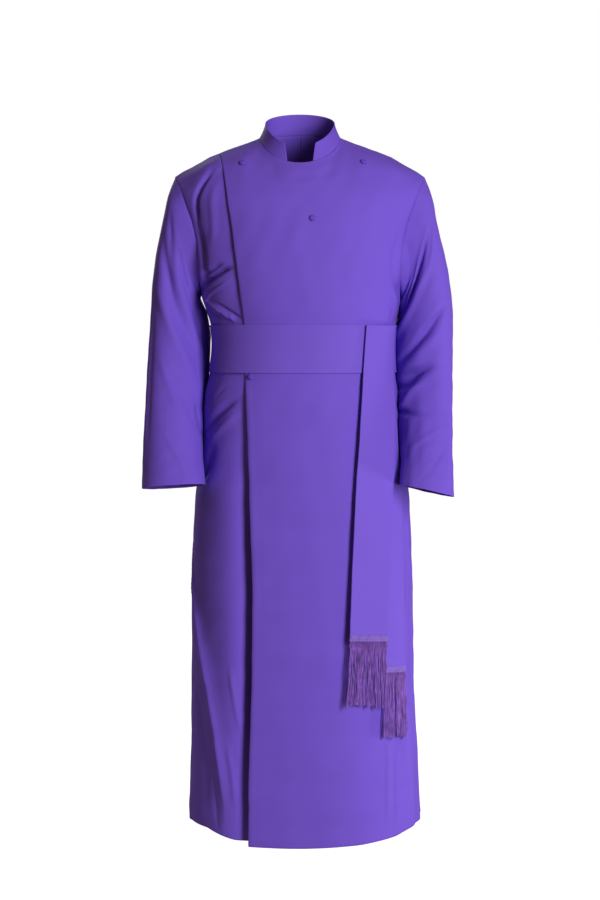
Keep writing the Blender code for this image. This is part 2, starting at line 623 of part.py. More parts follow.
def collar(finish):
    """The standing collar: a band from one side of the front notch round the neck to the other."""
    lower = [neck_line(False), neck_line(True)]
    upper = [
        ring_line(COLLAR_TOP_HALF_WIDTH, COLLAR_TOP_FRONT, COLLAR_TOP_SIDE, False),
        ring_line(COLLAR_TOP_HALF_WIDTH, COLLAR_TOP_BACK, COLLAR_TOP_SIDE, True),
    ]
    rows = []
    for quarters, notch in ((lower, NOTCH_BASE_HALF), (upper, NOTCH_TOP_HALF)):
        steps = np.linalg.norm(np.diff(quarters[0], axis=0), axis=1)
        length = np.concatenate([[0], np.cumsum(steps)])
        start = np.interp(notch, quarters[0][:, 0], length / length[-1])
        knots = np.array([[start], [1.0], [2.0]])
        half = spread(knots, COLLAR_SPACES)[0]
        places = np.concatenate([-half, half[-2::-1]])
        rows.append(ring_points(quarters, places))
    bottom, top = rows
    bottom = bottom + unit(top - bottom) * COLLAR_GAP
    share = np.linspace(0, 1, COLLAR_ROWS + 1)[:, None, None]
    grid = bottom + (top - bottom) * share
    flat = grid_normals(grid, flip=True)
    grid = grid - flat * (COLLAR_HOLLOW * 4 * share * (1 - share))
    normals = grid_normals(grid, flip=True)
    return cloth_wall("collar", grid, grid - normals * COLLAR_CLOTH, finish)


def band(finish):
    """The cincture's band: a closed strip round the waist."""
    levels = np.array([BAND_BOTTOM, (BAND_BOTTOM + BAND_TOP) / 2, BAND_TOP])[:, None]
    shares = np.linspace(-1, 1, BAND_TURNS // 2 + 1)

    def ring(offset):
        def constant(share, level):
            return np.full(share.shape, offset)

        front = body_skin(shares[None, :], levels, folded=False, offset=constant)
        rear = body_skin(shares[None, ::-1], levels, back=True, folded=False, offset=constant)
        return np.concatenate([front, rear[:, 1:-1]], axis=1)

    outer, inner = ring(BAND_STAND + BAND_CLOTH), ring(BAND_STAND)
    return cloth_wall("cincture_band", outer, inner, finish, closed=True)


class FallStrip:
    """Where one fall of the cincture hangs: places across its width and down its length."""

    def __init__(self, table, end, lift, flare):
        self.table, self.end, self.lift, self.flare = table, end, lift, flare

    def column(self, name, level):
        return np.interp(level, [row.level for row in self.table], [getattr(row, name) for row in self.table])

    def points(self, across, level, depth=0.0):
        """Points at shares across the fall, at a level, this far in from its outside."""
        across, level = np.broadcast_arrays(across, level)
        one_level = level[:, 0]
        start = share_at_x(self.column("edge", one_level), one_level)
        width = self.column("width", one_level) / quarter_girth(one_level)
        share = start[:, None] + across * width[:, None]
        stand = self.column("off", one_level)[:, None]
        stand = stand + self.lift * (2 * across - 1) ** 2 * smooth_step(-level, 0.40, 0.60)
        slanted = level - FALL_SLANT * across * smooth_step(-level, 0.50, 0.95)
        return body_skin(share, slanted, folded=False, offset=lambda *_: stand - depth)

    def wall(self, name, finish):
        across = np.linspace(0, 1, 6)[None, :]
        level = np.linspace(self.end, BAND_TOP, FALL_SPACES + 1)[:, None]
        return cloth_wall(name, self.points(across, level), self.points(across, level, BAND_CLOTH), finish)

    def fringe(self, name, strands, finish, seed):
        """A heading strip along the fall's lower edge, with strands hanging from it."""
        chance = random.Random(seed)
        spread_share, plumb = self.flare
        top = self.end - SEAM_GAP
        bottom = top - HEADING_HEIGHT
        edges = np.linspace(0.0, 1.0, strands + 1)[None, :]
        extra = (HEADING_THICKNESS - BAND_CLOTH) / 2
        form = bmesh.new()

        def line(across, level, depth):
            places = self.points(across, np.full((1, 1), level), depth)[0]
            return [form.verts.new(point) for point in places]

        outer_depth, inner_depth = -extra, BAND_CLOTH + extra
        front_top, rear_top = line(edges, top, outer_depth), line(edges, top, inner_depth)
        front_low, rear_low = line(edges, bottom, outer_depth), line(edges, bottom, inner_depth)
        for end_column, step in ((0, 1), (strands, -1)):
            corner = (front_top, front_low, rear_low, rear_top)[::step]
            form.faces.new([row[end_column] for row in corner])
        width = float(self.column("width", self.end))
        half = STRAND_WIDTH / width / 2
        mid_depth = BAND_CLOTH / 2
        for i in range(strands):
            form.faces.new((front_top[i], front_top[i + 1], front_low[i + 1], front_low[i]))
            form.faces.new((rear_top[i], rear_low[i], rear_low[i + 1], rear_top[i + 1]))
            form.faces.new((front_top[i], rear_top[i], rear_top[i + 1], front_top[i + 1]))
            middle = (i + 0.5) / strands
            sway = chance.uniform(-1, 1)
            length = STRAND_LENGTH * chance.uniform(0.965, 1.0)
            rings = []
            for joint in range(STRAND_JOINTS + 1):
                drop = joint / STRAND_JOINTS
                level = bottom - length * drop
                slip = spread_share * drop * (middle - plumb) + STRAND_SLIP * sway * drop
                back_off = STRAND_SWAY * drop * math.sin(2.1 * i + seed)
                sides = np.array([[middle + slip - half, middle + slip + half]])
                near = line(sides, level, mid_depth - STRAND_WIDTH / 2 + back_off)
                far = line(sides, level, mid_depth + STRAND_WIDTH / 2 + back_off)
                rings.append([near[0], near[1], far[1], far[0]])
            cell = (front_low[i], front_low[i + 1], rear_low[i + 1], rear_low[i])
            for k in range(4):
                n = (k + 1) % 4
                form.faces.new((cell[k], cell[n], rings[0][n], rings[0][k]))
                for above, below in zip(rings, rings[1:], strict=False):
                    form.faces.new((above[k], above[n], below[n], below[k]))
            form.faces.new(rings[-1])
        return finished(name, form, finish)


def place_of(x, z):
    """The share and level where the folded front has this x and height."""
    share, level = x / 0.33, z
    for _ in range(12):
        spots = np.array([share, share + 0.001, share])
        heights = np.array([level, level, level - 0.001])
        here, beside, below = body_skin(spots, heights)
        moves = np.stack([beside - here, below - here], axis=1)[[0, 2]]
        step = np.linalg.solve(moves, np.array([x - here[0], z - here[2]]))
        share += 0.001 * step[0]
        level -= 0.001 * step[1]
    return share, level


def button(place, finish):
    """A cloth-covered domed button whose base lies on the front, moved out from it."""
    share, level = place_of(place.x, place.z)
    spots = np.array([share, share + 0.004, share])
    heights = np.array([level, level, level + 0.004])
    here, right, above = body_skin(spots, heights)
    side = unit(right - here)
    normal = unit(np.cross(side, above - here))
    up = np.cross(normal, side)
    form = bmesh.new()
    rings = []
    for reach, rise in BUTTON_PROFILE:
        ring = []
        for k in range(BUTTON_SIDES):
            turn = 2 * math.pi * k / BUTTON_SIDES
            spoke = math.cos(turn) * side + math.sin(turn) * up
            out = normal * (place.stand + rise * BUTTON_HEIGHT)
            ring.append(form.verts.new(here + spoke * reach * BUTTON_RADIUS + out))
        rings.append(ring)
    for low, high in zip(rings, rings[1:], strict=False):
        for k in range(BUTTON_SIDES):
            n = (k + 1) % BUTTON_SIDES
            form.faces.new((low[k], low[n], high[n], high[k]))
    form.faces.new(rings[0][::-1])
    form.faces.new(rings[-1])
    return finished(place.name, form, finish)


def hung(level, share, hem):
    """Levels for a panel's points, with its hem raised as its table says."""
    rise = np.interp(share, [row[0] for row in hem], [row[1] for row in hem])
    above = level[:, None] - SECTIONS[0].level
    return level[:, None] + rise * (1 - smooth_step(above, 0.0, HEM_REACH))


def spread(knots, spaces):
    """Shares across a panel for each row, evenly spaced between its knots."""
    parts = [knots[0][:, None]]
    for low, high, count in zip(knots[:-1], knots[1:], spaces, strict=True):
        steps = np.linspace(0, 1, count + 1)[None, 1:]
        parts.append(low[:, None] + (high - low)[:, None] * steps)
    return np.concatenate(parts, axis=1)


def front_panels(levels):
    """The over front, and the under front with the lap that goes behind it."""
    edge = opening_share(levels)
    girth = quarter_girth(levels)
    trim = SEAM_GAP / 2 / girth
    lap_end = edge + UNDERLAP / girth
    lap_end += (-NECK_SHARE - lap_end) * smooth_step(levels, -0.25, TOP_LEVEL)
    neck = np.full(len(levels), NECK_SHARE)
    over_share = spread((edge, lap_end, neck, 1 - trim), (LAP_SPACES, *OVER_SPACES))
    under_share = spread((trim - 1, edge, lap_end), (UNDER_SPACES, LAP_SPACES))
    recess = np.interp(levels, RECESS_LEVELS, RECESS_DEPTHS)[:, None]

    def under_offset(share, level):
        beside = (edge[:, None] - share) * girth[:, None]
        lap_depth = CLOTH + LAYER_GAP
        near = 1 - smooth_step(beside, 0.010, 0.070)
        hollow = np.exp(-((np.maximum(beside, 0) / RECESS_WIDTH) ** 2))
        return -lap_depth * near - recess * hollow

    def over_offset(share, level):
        beside = (share - edge[:, None]) * girth[:, None]
        lifted = OPENING_LIFT * (1 - smooth_step(beside, 0.0, 0.05))
        below_band = 1 - smooth_step(level, BAND_BOTTOM - 0.060, BAND_BOTTOM - 0.012)
        return lifted * below_band

    over = Panel(over_share, hung(levels, over_share, OVER_HEM), offset=over_offset)
    under = Panel(under_share, hung(levels, under_share, UNDER_HEM), offset=under_offset)
    return over, under


def back_panels(levels):
    """The right and left backs, with a seam between them down the centre."""
    girth = quarter_girth(levels, back=True)
    trim = SEAM_GAP / 2 / girth
    neck = np.full(len(levels), NECK_SHARE)
    share = spread((trim, neck, 1 - trim), BACK_SPACES)
    left = Panel(share, hung(levels, share, BACK_HEM), back=True)
    share = -share[:, ::-1]
    right = Panel(share, hung(levels, share, BACK_HEM), back=True)
    return right, left


class SideEdges:
    """The outer edges of a right and a left panel seen as one, for the sleeves to meet."""

    def __init__(self, right, left):
        self.level = left.level
        self.grid = np.stack([right.grid[:, 0], left.grid[:, -1]], axis=1)
        self.normals = np.stack([right.normals[:, 0], left.normals[:, -1]], axis=1)
        self.panels = (right, 0), (left, -1)

    def hand_back(self):
        for column, (panel, edge) in enumerate(self.panels):
            panel.normals[:, edge] = self.normals[:, column]


def main():
    for old in list(bpy.data.objects):
        bpy.data.objects.remove(old)
    cloth = material("cassock_cloth", PURPLE)
    band_cloth = material("cincture_cloth", BAND_PURPLE)
    fringe_yarn = material("fringe_yarn", FRINGE_PURPLE)
    button_cloth = material("button_cloth", PURPLE)
    levels = row_levels()

    over, under = front_panels(levels)
    back_right, back_left = back_panels(levels)
    front, rear = SideEdges(under, over), SideEdges(back_right, back_left)
    left = Sleeve(1, LEFT_RINGS, LEFT_SLEEVE_FOLDS, front, rear)
    right = Sleeve(-1, RIGHT_RINGS, RIGHT_SLEEVE_FOLDS, front, rear)
    front.hand_back()
    rear.hand_back()
    over.wall("front_left", cloth)
    under.wall("front_right", cloth)
    back_left.wall("back_left", cloth)
    back_right.wall("back_right", cloth)
    left.wall("sleeve_left", cloth)
    right.wall("sleeve_right", cloth)
    collar(cloth)

    band(band_cloth)
    front_fall = FallStrip(FRONT_FALL, FRONT_FALL_END, FRONT_FALL_LIFT, FRONT_FLARE)
    rear_fall = FallStrip(REAR_FALL, REAR_FALL_END, 0.0, REAR_FLARE)
    front_fall.wall("cincture_fall_front", band_cloth)
    rear_fall.wall("cincture_fall_rear", band_cloth)
    front_fall.fringe("fringe_front", FRONT_STRANDS, fringe_yarn, seed=3)
    rear_fall.fringe("fringe_rear", REAR_STRANDS, fringe_yarn, seed=8)
    for place in BUTTONS:
        button(place, button_cloth)


main()
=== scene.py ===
import math
import random

import bpy
import numpy as np
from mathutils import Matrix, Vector


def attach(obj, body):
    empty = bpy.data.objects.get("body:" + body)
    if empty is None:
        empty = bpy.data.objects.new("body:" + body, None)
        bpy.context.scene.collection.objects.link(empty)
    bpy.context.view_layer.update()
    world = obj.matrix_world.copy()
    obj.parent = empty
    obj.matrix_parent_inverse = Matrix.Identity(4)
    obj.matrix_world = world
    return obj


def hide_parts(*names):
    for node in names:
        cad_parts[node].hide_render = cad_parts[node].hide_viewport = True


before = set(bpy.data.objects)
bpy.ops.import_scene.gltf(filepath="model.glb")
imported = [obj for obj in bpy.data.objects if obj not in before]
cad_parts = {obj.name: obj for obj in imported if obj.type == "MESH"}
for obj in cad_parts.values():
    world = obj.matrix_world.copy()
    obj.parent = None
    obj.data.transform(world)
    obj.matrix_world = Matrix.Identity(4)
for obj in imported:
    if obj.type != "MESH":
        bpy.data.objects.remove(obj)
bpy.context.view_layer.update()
scene = bpy.context.scene
scene.view_settings.view_transform = "Standard"


# camera, lamps and sky

view = dict(place=(0.0, -3.9, -0.411), pitch=3.31, lens=76.0, sensor=36.0)
lamps = [
    # name, place, aim, width, height, watts
    ("keyLamp", (2.35, -3.75, 0.2), (0.0, 0.0, -0.8), 1.3, 2.2, 178),
    ("sideLamp", (1.6, 0.0, -1.6), (0.2, 0.0, -1.15), 0.5, 0.9, 22),
    ("fillLamp", (-1.1, -0.5, -1.75), (-0.15, -0.1, -1.25), 0.4, 0.6, 9),
    ("topLamp", (0.6, -0.4, 2.9), (0.0, 0.0, -0.3), 1.8, 1.8, 10),
    ("backLamp", (-1.6, 3.4, 0.9), (0.0, 0.0, -0.6), 2.2, 2.2, 50),
]


def linked(thing):
    scene.collection.objects.link(thing)
    return thing


camera = linked(bpy.data.objects.new("camera", bpy.data.cameras.new("camera")))
camera.data.lens = view["lens"]
camera.data.sensor_width = view["sensor"]
camera.location = view["place"]
camera.rotation_euler = (math.radians(90 - view["pitch"]), 0, 0)
scene.camera = camera

for name, place, aim, width, height, watts in lamps:
    light = bpy.data.lights.new(name, "AREA")
    light.shape = "RECTANGLE"
    light.size = width
    light.size_y = height
    light.energy = watts
    lamp = linked(bpy.data.objects.new(name, light))
    lamp.location = place
    lamp.rotation_euler = (Vector(aim) - Vector(place)).to_track_quat("-Z", "Y").to_euler()


# expressions for shader and geometry nodes: a Value is a socket that can be added, scaled and so on

class Value:
    def __init__(self, nodes, socket):
        self.nodes, self.socket = nodes, socket

    def join(self, operation, first, second=0.0):
        return self.nodes.node("ShaderNodeMath", dict(operation=operation), {0: first, 1: second})

    def __add__(self, other):
        return self.join("ADD", self, other)

    def __sub__(self, other):
        return self.join("SUBTRACT", self, other)

    def __mul__(self, other):
        return self.join("MULTIPLY", self, other)

    def __truediv__(self, other):
        return self.join("DIVIDE", self, other)

    def sine(self):
        return self.join("SINE", self)

    def cosine(self):
        return self.join("COSINE", self)

    def clamped(self):
        return self.join("MINIMUM", self.join("MAXIMUM", self), 1.0)

    # another output of the node that this value comes from
    def other(self, output):
        return Value(self.nodes, self.socket.node.outputs[output])


class Nodes:
    def __init__(self, tree):
        self.tree = tree

    def plug(self, socket, value):
        if isinstance(value, list) and value and isinstance(value[0], Value):
            for one in value:
                self.tree.links.new(one.socket, socket)
            return
        if isinstance(value, Value):
            self.tree.links.new(value.socket, socket)
        else:
            socket.default_value = value

    # one node of any kind: its settings first, then what its sockets hold or read
    def node(self, kind, settings=None, sockets=None, out=0):
        made = self.tree.nodes.new(kind)
        for key, value in (settings or {}).items():
            setattr(made, key, value)
        for key, value in (sockets or {}).items():
            self.plug(made.inputs[key], value)
        return Value(self, made.outputs[out])


# a Principled material whose sockets are set by name
class Shader(Nodes):
    def __init__(self, name, **surface):
        self.material = bpy.data.materials.new(name)
        self.material.use_nodes = True
        super().__init__(self.material.node_tree)
        self.surface = self.tree.nodes["Principled BSDF"]
        for label, value in surface.items():
            self.set(label.replace("_", " "), value)

    def set(self, label, value):
        self.plug(self.surface.inputs[label], value)

    def mixed(self, share, first, second):
        return self.node("ShaderNodeMix", dict(data_type="RGBA"), {0: share, 6: first, 7: second}, out=2)

    def noise(self, vector, scale, detail=2.0):
        sockets = {"Vector": vector, "Scale": scale, "Detail": detail}
        return self.node("ShaderNodeTexNoise", None, sockets)

    def bump(self, height, strength, distance):
        sockets = {"Strength": strength, "Distance": distance, "Height": height}
        self.set("Normal", self.node("ShaderNodeBump", None, sockets))


# a geometry node tree with named inputs for its sizes
class Growth(Nodes):
    def __init__(self, name, **sizes):
        super().__init__(bpy.data.node_groups.new(name, "GeometryNodeTree"))
        sockets = self.tree.interface
        sockets.new_socket("Geometry", in_out="INPUT", socket_type="NodeSocketGeometry")
        sockets.new_socket("Geometry", in_out="OUTPUT", socket_type="NodeSocketGeometry")
        self.keys = {}
        for label, value in sizes.items():
            made = sockets.new_socket(label, in_out="INPUT", socket_type="NodeSocketFloat")
            made.default_value = value
            self.keys[label] = made.identifier
        self.given = self.tree.nodes.new("NodeGroupInput")

    def size(self, label):
        return Value(self, self.given.outputs[label])

    def end(self, shape, finish):
        smooth = self.node("GeometryNodeSetShadeSmooth", None, {"Geometry": shape})
        whole = self.node("GeometryNodeRealizeInstances", None, {"Geometry": smooth})
        dressed = self.node("GeometryNodeSetMaterial", None, {"Geometry": whole, "Material": finish})
        self.plug(self.tree.nodes.new("NodeGroupOutput").inputs["Geometry"], dressed)

    # the plain mesh that the tree makes from paths, which are lists of points
    def grown(self, name, paths, **sizes):
        curve = bpy.data.curves.new(name, "CURVE")
        curve.dimensions = "3D"
        for path in paths:
            spline = curve.splines.new("POLY")
            spline.points.add(len(path) - 1)
            spline.points.foreach_set("co", np.c_[path, np.ones(len(path))].ravel())
        carrier = linked(bpy.data.objects.new(name + "Paths", curve))
        modifier = carrier.modifiers.new(name, "NODES")
        modifier.node_group = self.tree
        for label, value in sizes.items():
            modifier[self.keys[label]] = value
        graph = bpy.context.evaluated_depsgraph_get()
        mesh = bpy.data.meshes.new_from_object(carrier.evaluated_get(graph))
        bpy.data.objects.remove(carrier)
        return linked(bpy.data.objects.new(name, mesh))


# a white sky for the camera, and a weaker one that lights the robe
def whiteSky(glow):
    world = bpy.data.worlds.new("studio")
    world.use_nodes = True
    scene.world = world
    nodes = Nodes(world.node_tree)
    nodes.tree.nodes.clear()
    seen = nodes.node("ShaderNodeBackground", None, {"Color": (1.0, 1.0, 1.0, 1.0), "Strength": 1.0})
    lit = nodes.node("ShaderNodeBackground", None, {"Color": (1.0, 0.80, 0.52, 1.0), "Strength": glow})
    rays = nodes.node("ShaderNodeLightPath")
    both = nodes.node("ShaderNodeMixShader", None, {0: rays, 1: lit, 2: seen})
    nodes.plug(nodes.tree.nodes.new("ShaderNodeOutputWorld").inputs["Surface"], both)


def paleFloor(height, reach):
    paint = Shader("paleFloor", Roughness=0.95, Base_Color=(0.30, 0.30, 0.30, 1.0))
    paint.set("Emission Color", (1.0, 1.0, 1.0, 1.0))
    paint.set("Emission Strength", 0.97)
    mesh = bpy.data.meshes.new("floor")
    corners = [(-reach, -reach), (reach, -reach), (reach, reach), (-reach, reach)]
    mesh.from_pydata([(x, y, height) for x, y in corners], [], [(0, 1, 2, 3)])
    mesh.materials.append(paint.material)
    floor = linked(bpy.data.objects.new("floor", mesh))
    floor.visible_diffuse = False
    floor.visible_glossy = False


whiteSky(glow=0.16)
paleFloor(height=-1.56, reach=40.0)


# materials: a smooth twill for the robe, and soft twisted yarn for the fringe, with painted light in the
# fringe's colours

def twill(name, look):
    shader = Shader(name, Sheen_Roughness=0.40, Sheen_Weight=look["sheen"], Sheen_Tint=look["tint"])
    shader.set("Specular IOR Level", look["gloss"])
    weave = shader.node("ShaderNodeUVMap", dict(uv_map="cloth"))
    place = shader.node("ShaderNodeTexCoord", out=3)
    across = shader.node("ShaderNodeSeparateXYZ", None, {0: weave})
    along = across.other("Y")
    turn = 2 * math.pi / look["rib"]
    ribs = ((across + along * 0.62) * turn).sine() * 0.36 + 0.5
    yarn = ((along * 1.9 - across) * turn).sine() * 0.14
    cloud = shader.noise(place, 7.0) - 0.5
    slub = shader.noise(weave, 260.0) - 0.5
    shade = cloud * look["cloud"] + slub * look["slub"] + (ribs + yarn) * look["grain"] + 0.5
    dark = [channel * 0.8 for channel in look["colour"]] + [1.0]
    light = [channel * 1.2 for channel in look["colour"]] + [1.0]
    shader.set("Base Color", shader.mixed(shade.clamped(), dark, light))
    shader.set("Roughness", (cloud * 0.12 - ribs * 0.05 + look["roughness"]).clamped())
    shader.bump(ribs + yarn + slub * 0.5, look["relief"], 0.00012)
    return shader.material


cassockLook = dict(
    colour=(0.159, 0.083, 0.580), roughness=0.68, rib=0.0011, cloud=0.12, slub=0.12, grain=0.10,
    relief=0.35, sheen=0.04, tint=(0.62, 0.50, 1.0, 1.0), gloss=0.08,
)
cinctureLook = dict(cassockLook, colour=(0.166, 0.089, 0.590), roughness=0.66, cloud=0.08, rib=0.0010)
buttonLook = dict(cassockLook, colour=(0.125, 0.060, 0.470), rib=0.0008, grain=0.2)


def yarn(name, look):
    shader = Shader(name, Roughness=look["roughness"], Sheen_Weight=0.15, Sheen_Tint=look["tint"])
    place = shader.node("ShaderNodeTexCoord", out=3)
    streaks = shader.node("ShaderNodeMapping", None, {"Vector": place, "Scale": (1.0, 1.0, 0.05)})
    # random streaks mix the dark and light colours: the yarn's mottling, and on the fringe also painted
    # shade and painted highlights
    shade = (shader.noise(streaks, 700.0) - 0.5) * 2.4 + (shader.noise(place, 90.0) - 0.5) * 0.9 + 0.5
    shader.set("Base Color", shader.mixed(shade.clamped(), look["dark"], look["light"]))
    shader.bump(shader.noise(place, 2600.0), 0.3, 0.0002)
    return shader.material


# fringe colours run from the shade between strands to the highlights on them: painted shade and painted
# highlight over the yarn's own mottling
fringeMottleAndPaintedLight = dict(
    dark=(0.048, 0.012, 0.150, 1.0), light=(0.360, 0.140, 0.760, 1.0), roughness=0.45,
    tint=(0.80, 0.62, 1.0, 1.0),
)
headingLook = dict(
    fringeMottleAndPaintedLight, dark=(0.120, 0.055, 0.350, 1.0), light=(0.235, 0.125, 0.620, 1.0), roughness=0.6,
)
cassockCloth = twill("cassockCloth", cassockLook)
cinctureCloth = twill("cinctureCloth", cinctureLook)
buttonCloth = twill("buttonCloth", buttonLook)
fringeYarn = yarn("fringeYarn", fringeMottleAndPaintedLight)
headingYarn = yarn("headingYarn", headingLook)
print("camera, lamps, floor and materials made")


# the skin of the body: a loft through sections from the hem to the collarbones, closed by the
# neckline and the shoulder seam. A place on it has a share, 0 at the centre line and 1 or -1 at the
# side or armhole, and a level, its height below the neck base on the straight part of the body

body = dict(
    # level, half width, shift to the left, front, back, front edge, back edge, turn, opening edge
    sections=np.array([
        (-1.4090, 0.2400, 0.0100, -0.218, 0.200, 0.000, 0.000, 90, -0.1010),
        (-1.2700, 0.2350, 0.0085, -0.211, 0.190, 0.000, 0.000, 90, -0.0998),
        (-1.1000, 0.2295, 0.0055, -0.202, 0.176, 0.000, 0.000, 90, -0.0945),
        (-0.9000, 0.2270, 0.0045, -0.191, 0.162, 0.000, 0.000, 90, -0.0925),
        (-0.7200, 0.2180, 0.0045, -0.180, 0.150, 0.000, 0.000, 90, -0.0986),
        (-0.6000, 0.2040, 0.0035, -0.173, 0.139, 0.000, 0.000, 90, -0.1025),
        (-0.5200, 0.1975, 0.0020, -0.167, 0.126, 0.000, 0.000, 90, -0.1060),
        (-0.4780, 0.1900, 0.0050, -0.160, 0.113, 0.000, 0.000, 90, -0.1080),
        (-0.3780, 0.1895, 0.0065, -0.155, 0.107, 0.000, 0.000, 90, -0.1110),
        (-0.3480, 0.1970, 0.0045, -0.1570, 0.116, 0.001, 0.001, 90, -0.1140),
        (-0.3200, 0.2025, 0.0015, -0.1575, 0.121, 0.002, 0.002, 90, -0.1180),
        (-0.2960, 0.2040, 0.0000, -0.157, 0.124, -0.034, 0.040, 78, -0.1210),
        (-0.2000, 0.2110, 0.0000, -0.146, 0.128, -0.056, 0.066, 64, -0.1330),
        (-0.1200, 0.2360, 0.0000, -0.127, 0.117, -0.043, 0.057, 56, -0.1450),
    ]),
    hem=-1.409, armhole=-0.320, collarbone=-0.055, top=0.005, yokeOpening=(-0.1560, -0.1620),
    squareness=2.25, shoulderBulge=0.020, neckBulge=0.004,
    cornerReach=0.15, cornerSteps=(-0.14, -0.07, 0, 0.07, 0.14),
    neckHalf=0.083, neckFront=(-0.090, -0.0575), neckSide=(0.008, 0.0), neckBack=(0.076, 0.012),
    neckShare=0.44,
    shoulderX=(0.083, 0.125, 0.155, 0.185, 0.215, 0.239, 0.256),
    shoulderZ=(0.000, -0.0150, -0.0255, -0.0375, -0.0540, -0.0675, -0.0790), shoulderY=0.012,
    cloth=0.0012, seamGap=0.00025, seamPuff=0.24,
)
belt = dict(
    top=-0.3815, bottom=-0.4755, turns=260, rows=26, stand=0.0008, cloth=0.0020, calm=0.014,
    bead=0.0004, beadReach=0.0018, groove=0.0005, grooveAt=0.0042, grooveReach=0.0016, deepest=0.0004,
)
stations = np.append(body["sections"][:, 0], [body["collarbone"], body["top"]])


def smoothStep(value, low, high):
    share = np.clip((value - low) / (high - low), 0.0, 1.0)
    return share * share * (3 - 2 * share)


def unit(vectors):
    return vectors / np.maximum(np.linalg.norm(vectors, axis=-1, keepdims=True), 1e-12)


# a smooth bump, 1 at 0 and falling away on both sides
def hump(away, half):
    return np.exp(-((away / half) ** 2))


# an angle in degrees, brought between -180 and 180
def wrapped(angle):
    return (angle + 180) % 360 - 180


# how far along a line each of its points lies
def runLength(line):
    return np.append(0.0, np.cumsum(np.linalg.norm(np.diff(line, axis=0), axis=1)))


def resampled(line, share):
    along = runLength(line)
    return np.stack([np.interp(share * along[-1], along, line[:, k]) for k in range(3)], axis=-1)


# the smooth curve through points, which are given station by station, at the places in at
def through(knots, points, at):
    points = np.broadcast_to(points, (len(knots), *at.shape, 3))
    gaps = np.diff(knots).reshape(-1, *[1] * (points.ndim - 1))
    slopes = np.diff(points, axis=0) / gaps
    tangents = np.concatenate([slopes[:1], slopes[1:], slopes[-1:]])
    tangents[1:-1] = (slopes[:-1] * gaps[1:] + slopes[1:] * gaps[:-1]) / (gaps[1:] + gaps[:-1])
    span = np.clip(np.searchsorted(knots, at, side="right") - 1, 0, len(knots) - 2)
    width = np.diff(knots)[span]
    t = ((at - knots[span]) / width)[..., None]

    def picked(values, index):
        return np.take_along_axis(values, index[None, ..., None], axis=0)[0]

    start = picked(tangents, span) * width[..., None]
    end = picked(tangents, span + 1) * width[..., None]
    return (
        picked(points, span) * (2 * t**3 - 3 * t**2 + 1)
        + start * (t**3 - 2 * t**2 + t)
        + picked(points, span + 1) * (3 * t**2 - 2 * t**3)
        + end * (t**3 - t**2)
    )


def sectionLine(row, back):
    level, width, _, front, rear, frontEdge, backEdge, wrap, _ = row
    power = 2 / body["squareness"]
    angle = np.radians(np.linspace(0, wrap, 240))
    reach = np.sin(angle) ** power
    fall = np.maximum(np.cos(angle), 0) ** power
    middle, edge = (rear, backEdge) if back else (front, frontEdge)
    y = middle + (edge - middle) * (1 - fall) / (1 - fall[-1])
    return np.stack([width * reach / reach[-1], y, np.full_like(y, level)], axis=-1)


# a quarter of a ring round the neck, from its front or back middle to its side
def neckQuarter(halfWidth, middle, side, back):
    angle = np.radians(np.linspace(0, 90, 120))
    fall = np.cos(angle) ** 0.95
    rise = fall if back else fall**1.3
    y = side[0] + (middle[0] - side[0]) * fall
    z = side[1] + (middle[1] - side[1]) * rise
    return np.stack([halfWidth * np.sin(angle) ** 0.95, y, z], axis=-1)


def neckLine(back):
    middle = body["neckBack"] if back else body["neckFront"]
    return neckQuarter(body["neckHalf"], middle, body["neckSide"], back)


def shoulderLine():
    x = np.linspace(body["shoulderX"][0], body["shoulderX"][-1], 120)
    y = np.linspace(body["neckSide"][0], body["shoulderY"], 120)
    return np.stack([x, y, np.interp(x, body["shoulderX"], body["shoulderZ"])], axis=-1)


def topPoints(share, back):
    neck = body["neckShare"]
    onNeck = resampled(neckLine(back), np.clip(share / neck, 0, 1))
    onShoulder = resampled(shoulderLine(), np.clip((share - neck) / (1 - neck), 0, 1))
    return np.where((share < neck)[..., None], onNeck, onShoulder)


# the top edge with its corner at the neck point rounded off
def roundedTop(share, back):
    total = 0
    for step in body["cornerSteps"]:
        points = topPoints(np.abs(share + step), back)
        points[..., 0] *= np.where(share + step < 0, -1.0, 1.0)
        total = total + points / len(body["cornerSteps"])
    amount = hump(share - body["neckShare"], body["cornerReach"])[..., None]
    return topPoints(share, back) * (1 - amount) + total * amount


def stationPoints(share, back):
    amount = np.abs(share)
    rings = [resampled(sectionLine(row, back), amount) for row in body["sections"]]
    bulge = body["neckBulge"] + (body["shoulderBulge"] - body["neckBulge"]) * smoothStep(amount, 0.15, 0.60)
    bulge = bulge * (1 - 0.65 * smoothStep(amount, 0.75, 1.0))
    outward = np.array([0.0, 0.66 if back else -0.66, 0.75])
    between = (rings[-1] + roundedTop(amount, back)) / 2
    points = np.stack(rings + [between + bulge[..., None] * outward, topPoints(amount, back)])
    points[..., 0] *= np.where(share < 0, -1.0, 1.0)
    shifts = np.append(body["sections"][:, 2], [0.0, 0.0])
    points[..., 0] += shifts.reshape(-1, *[1] * share.ndim)
    return points


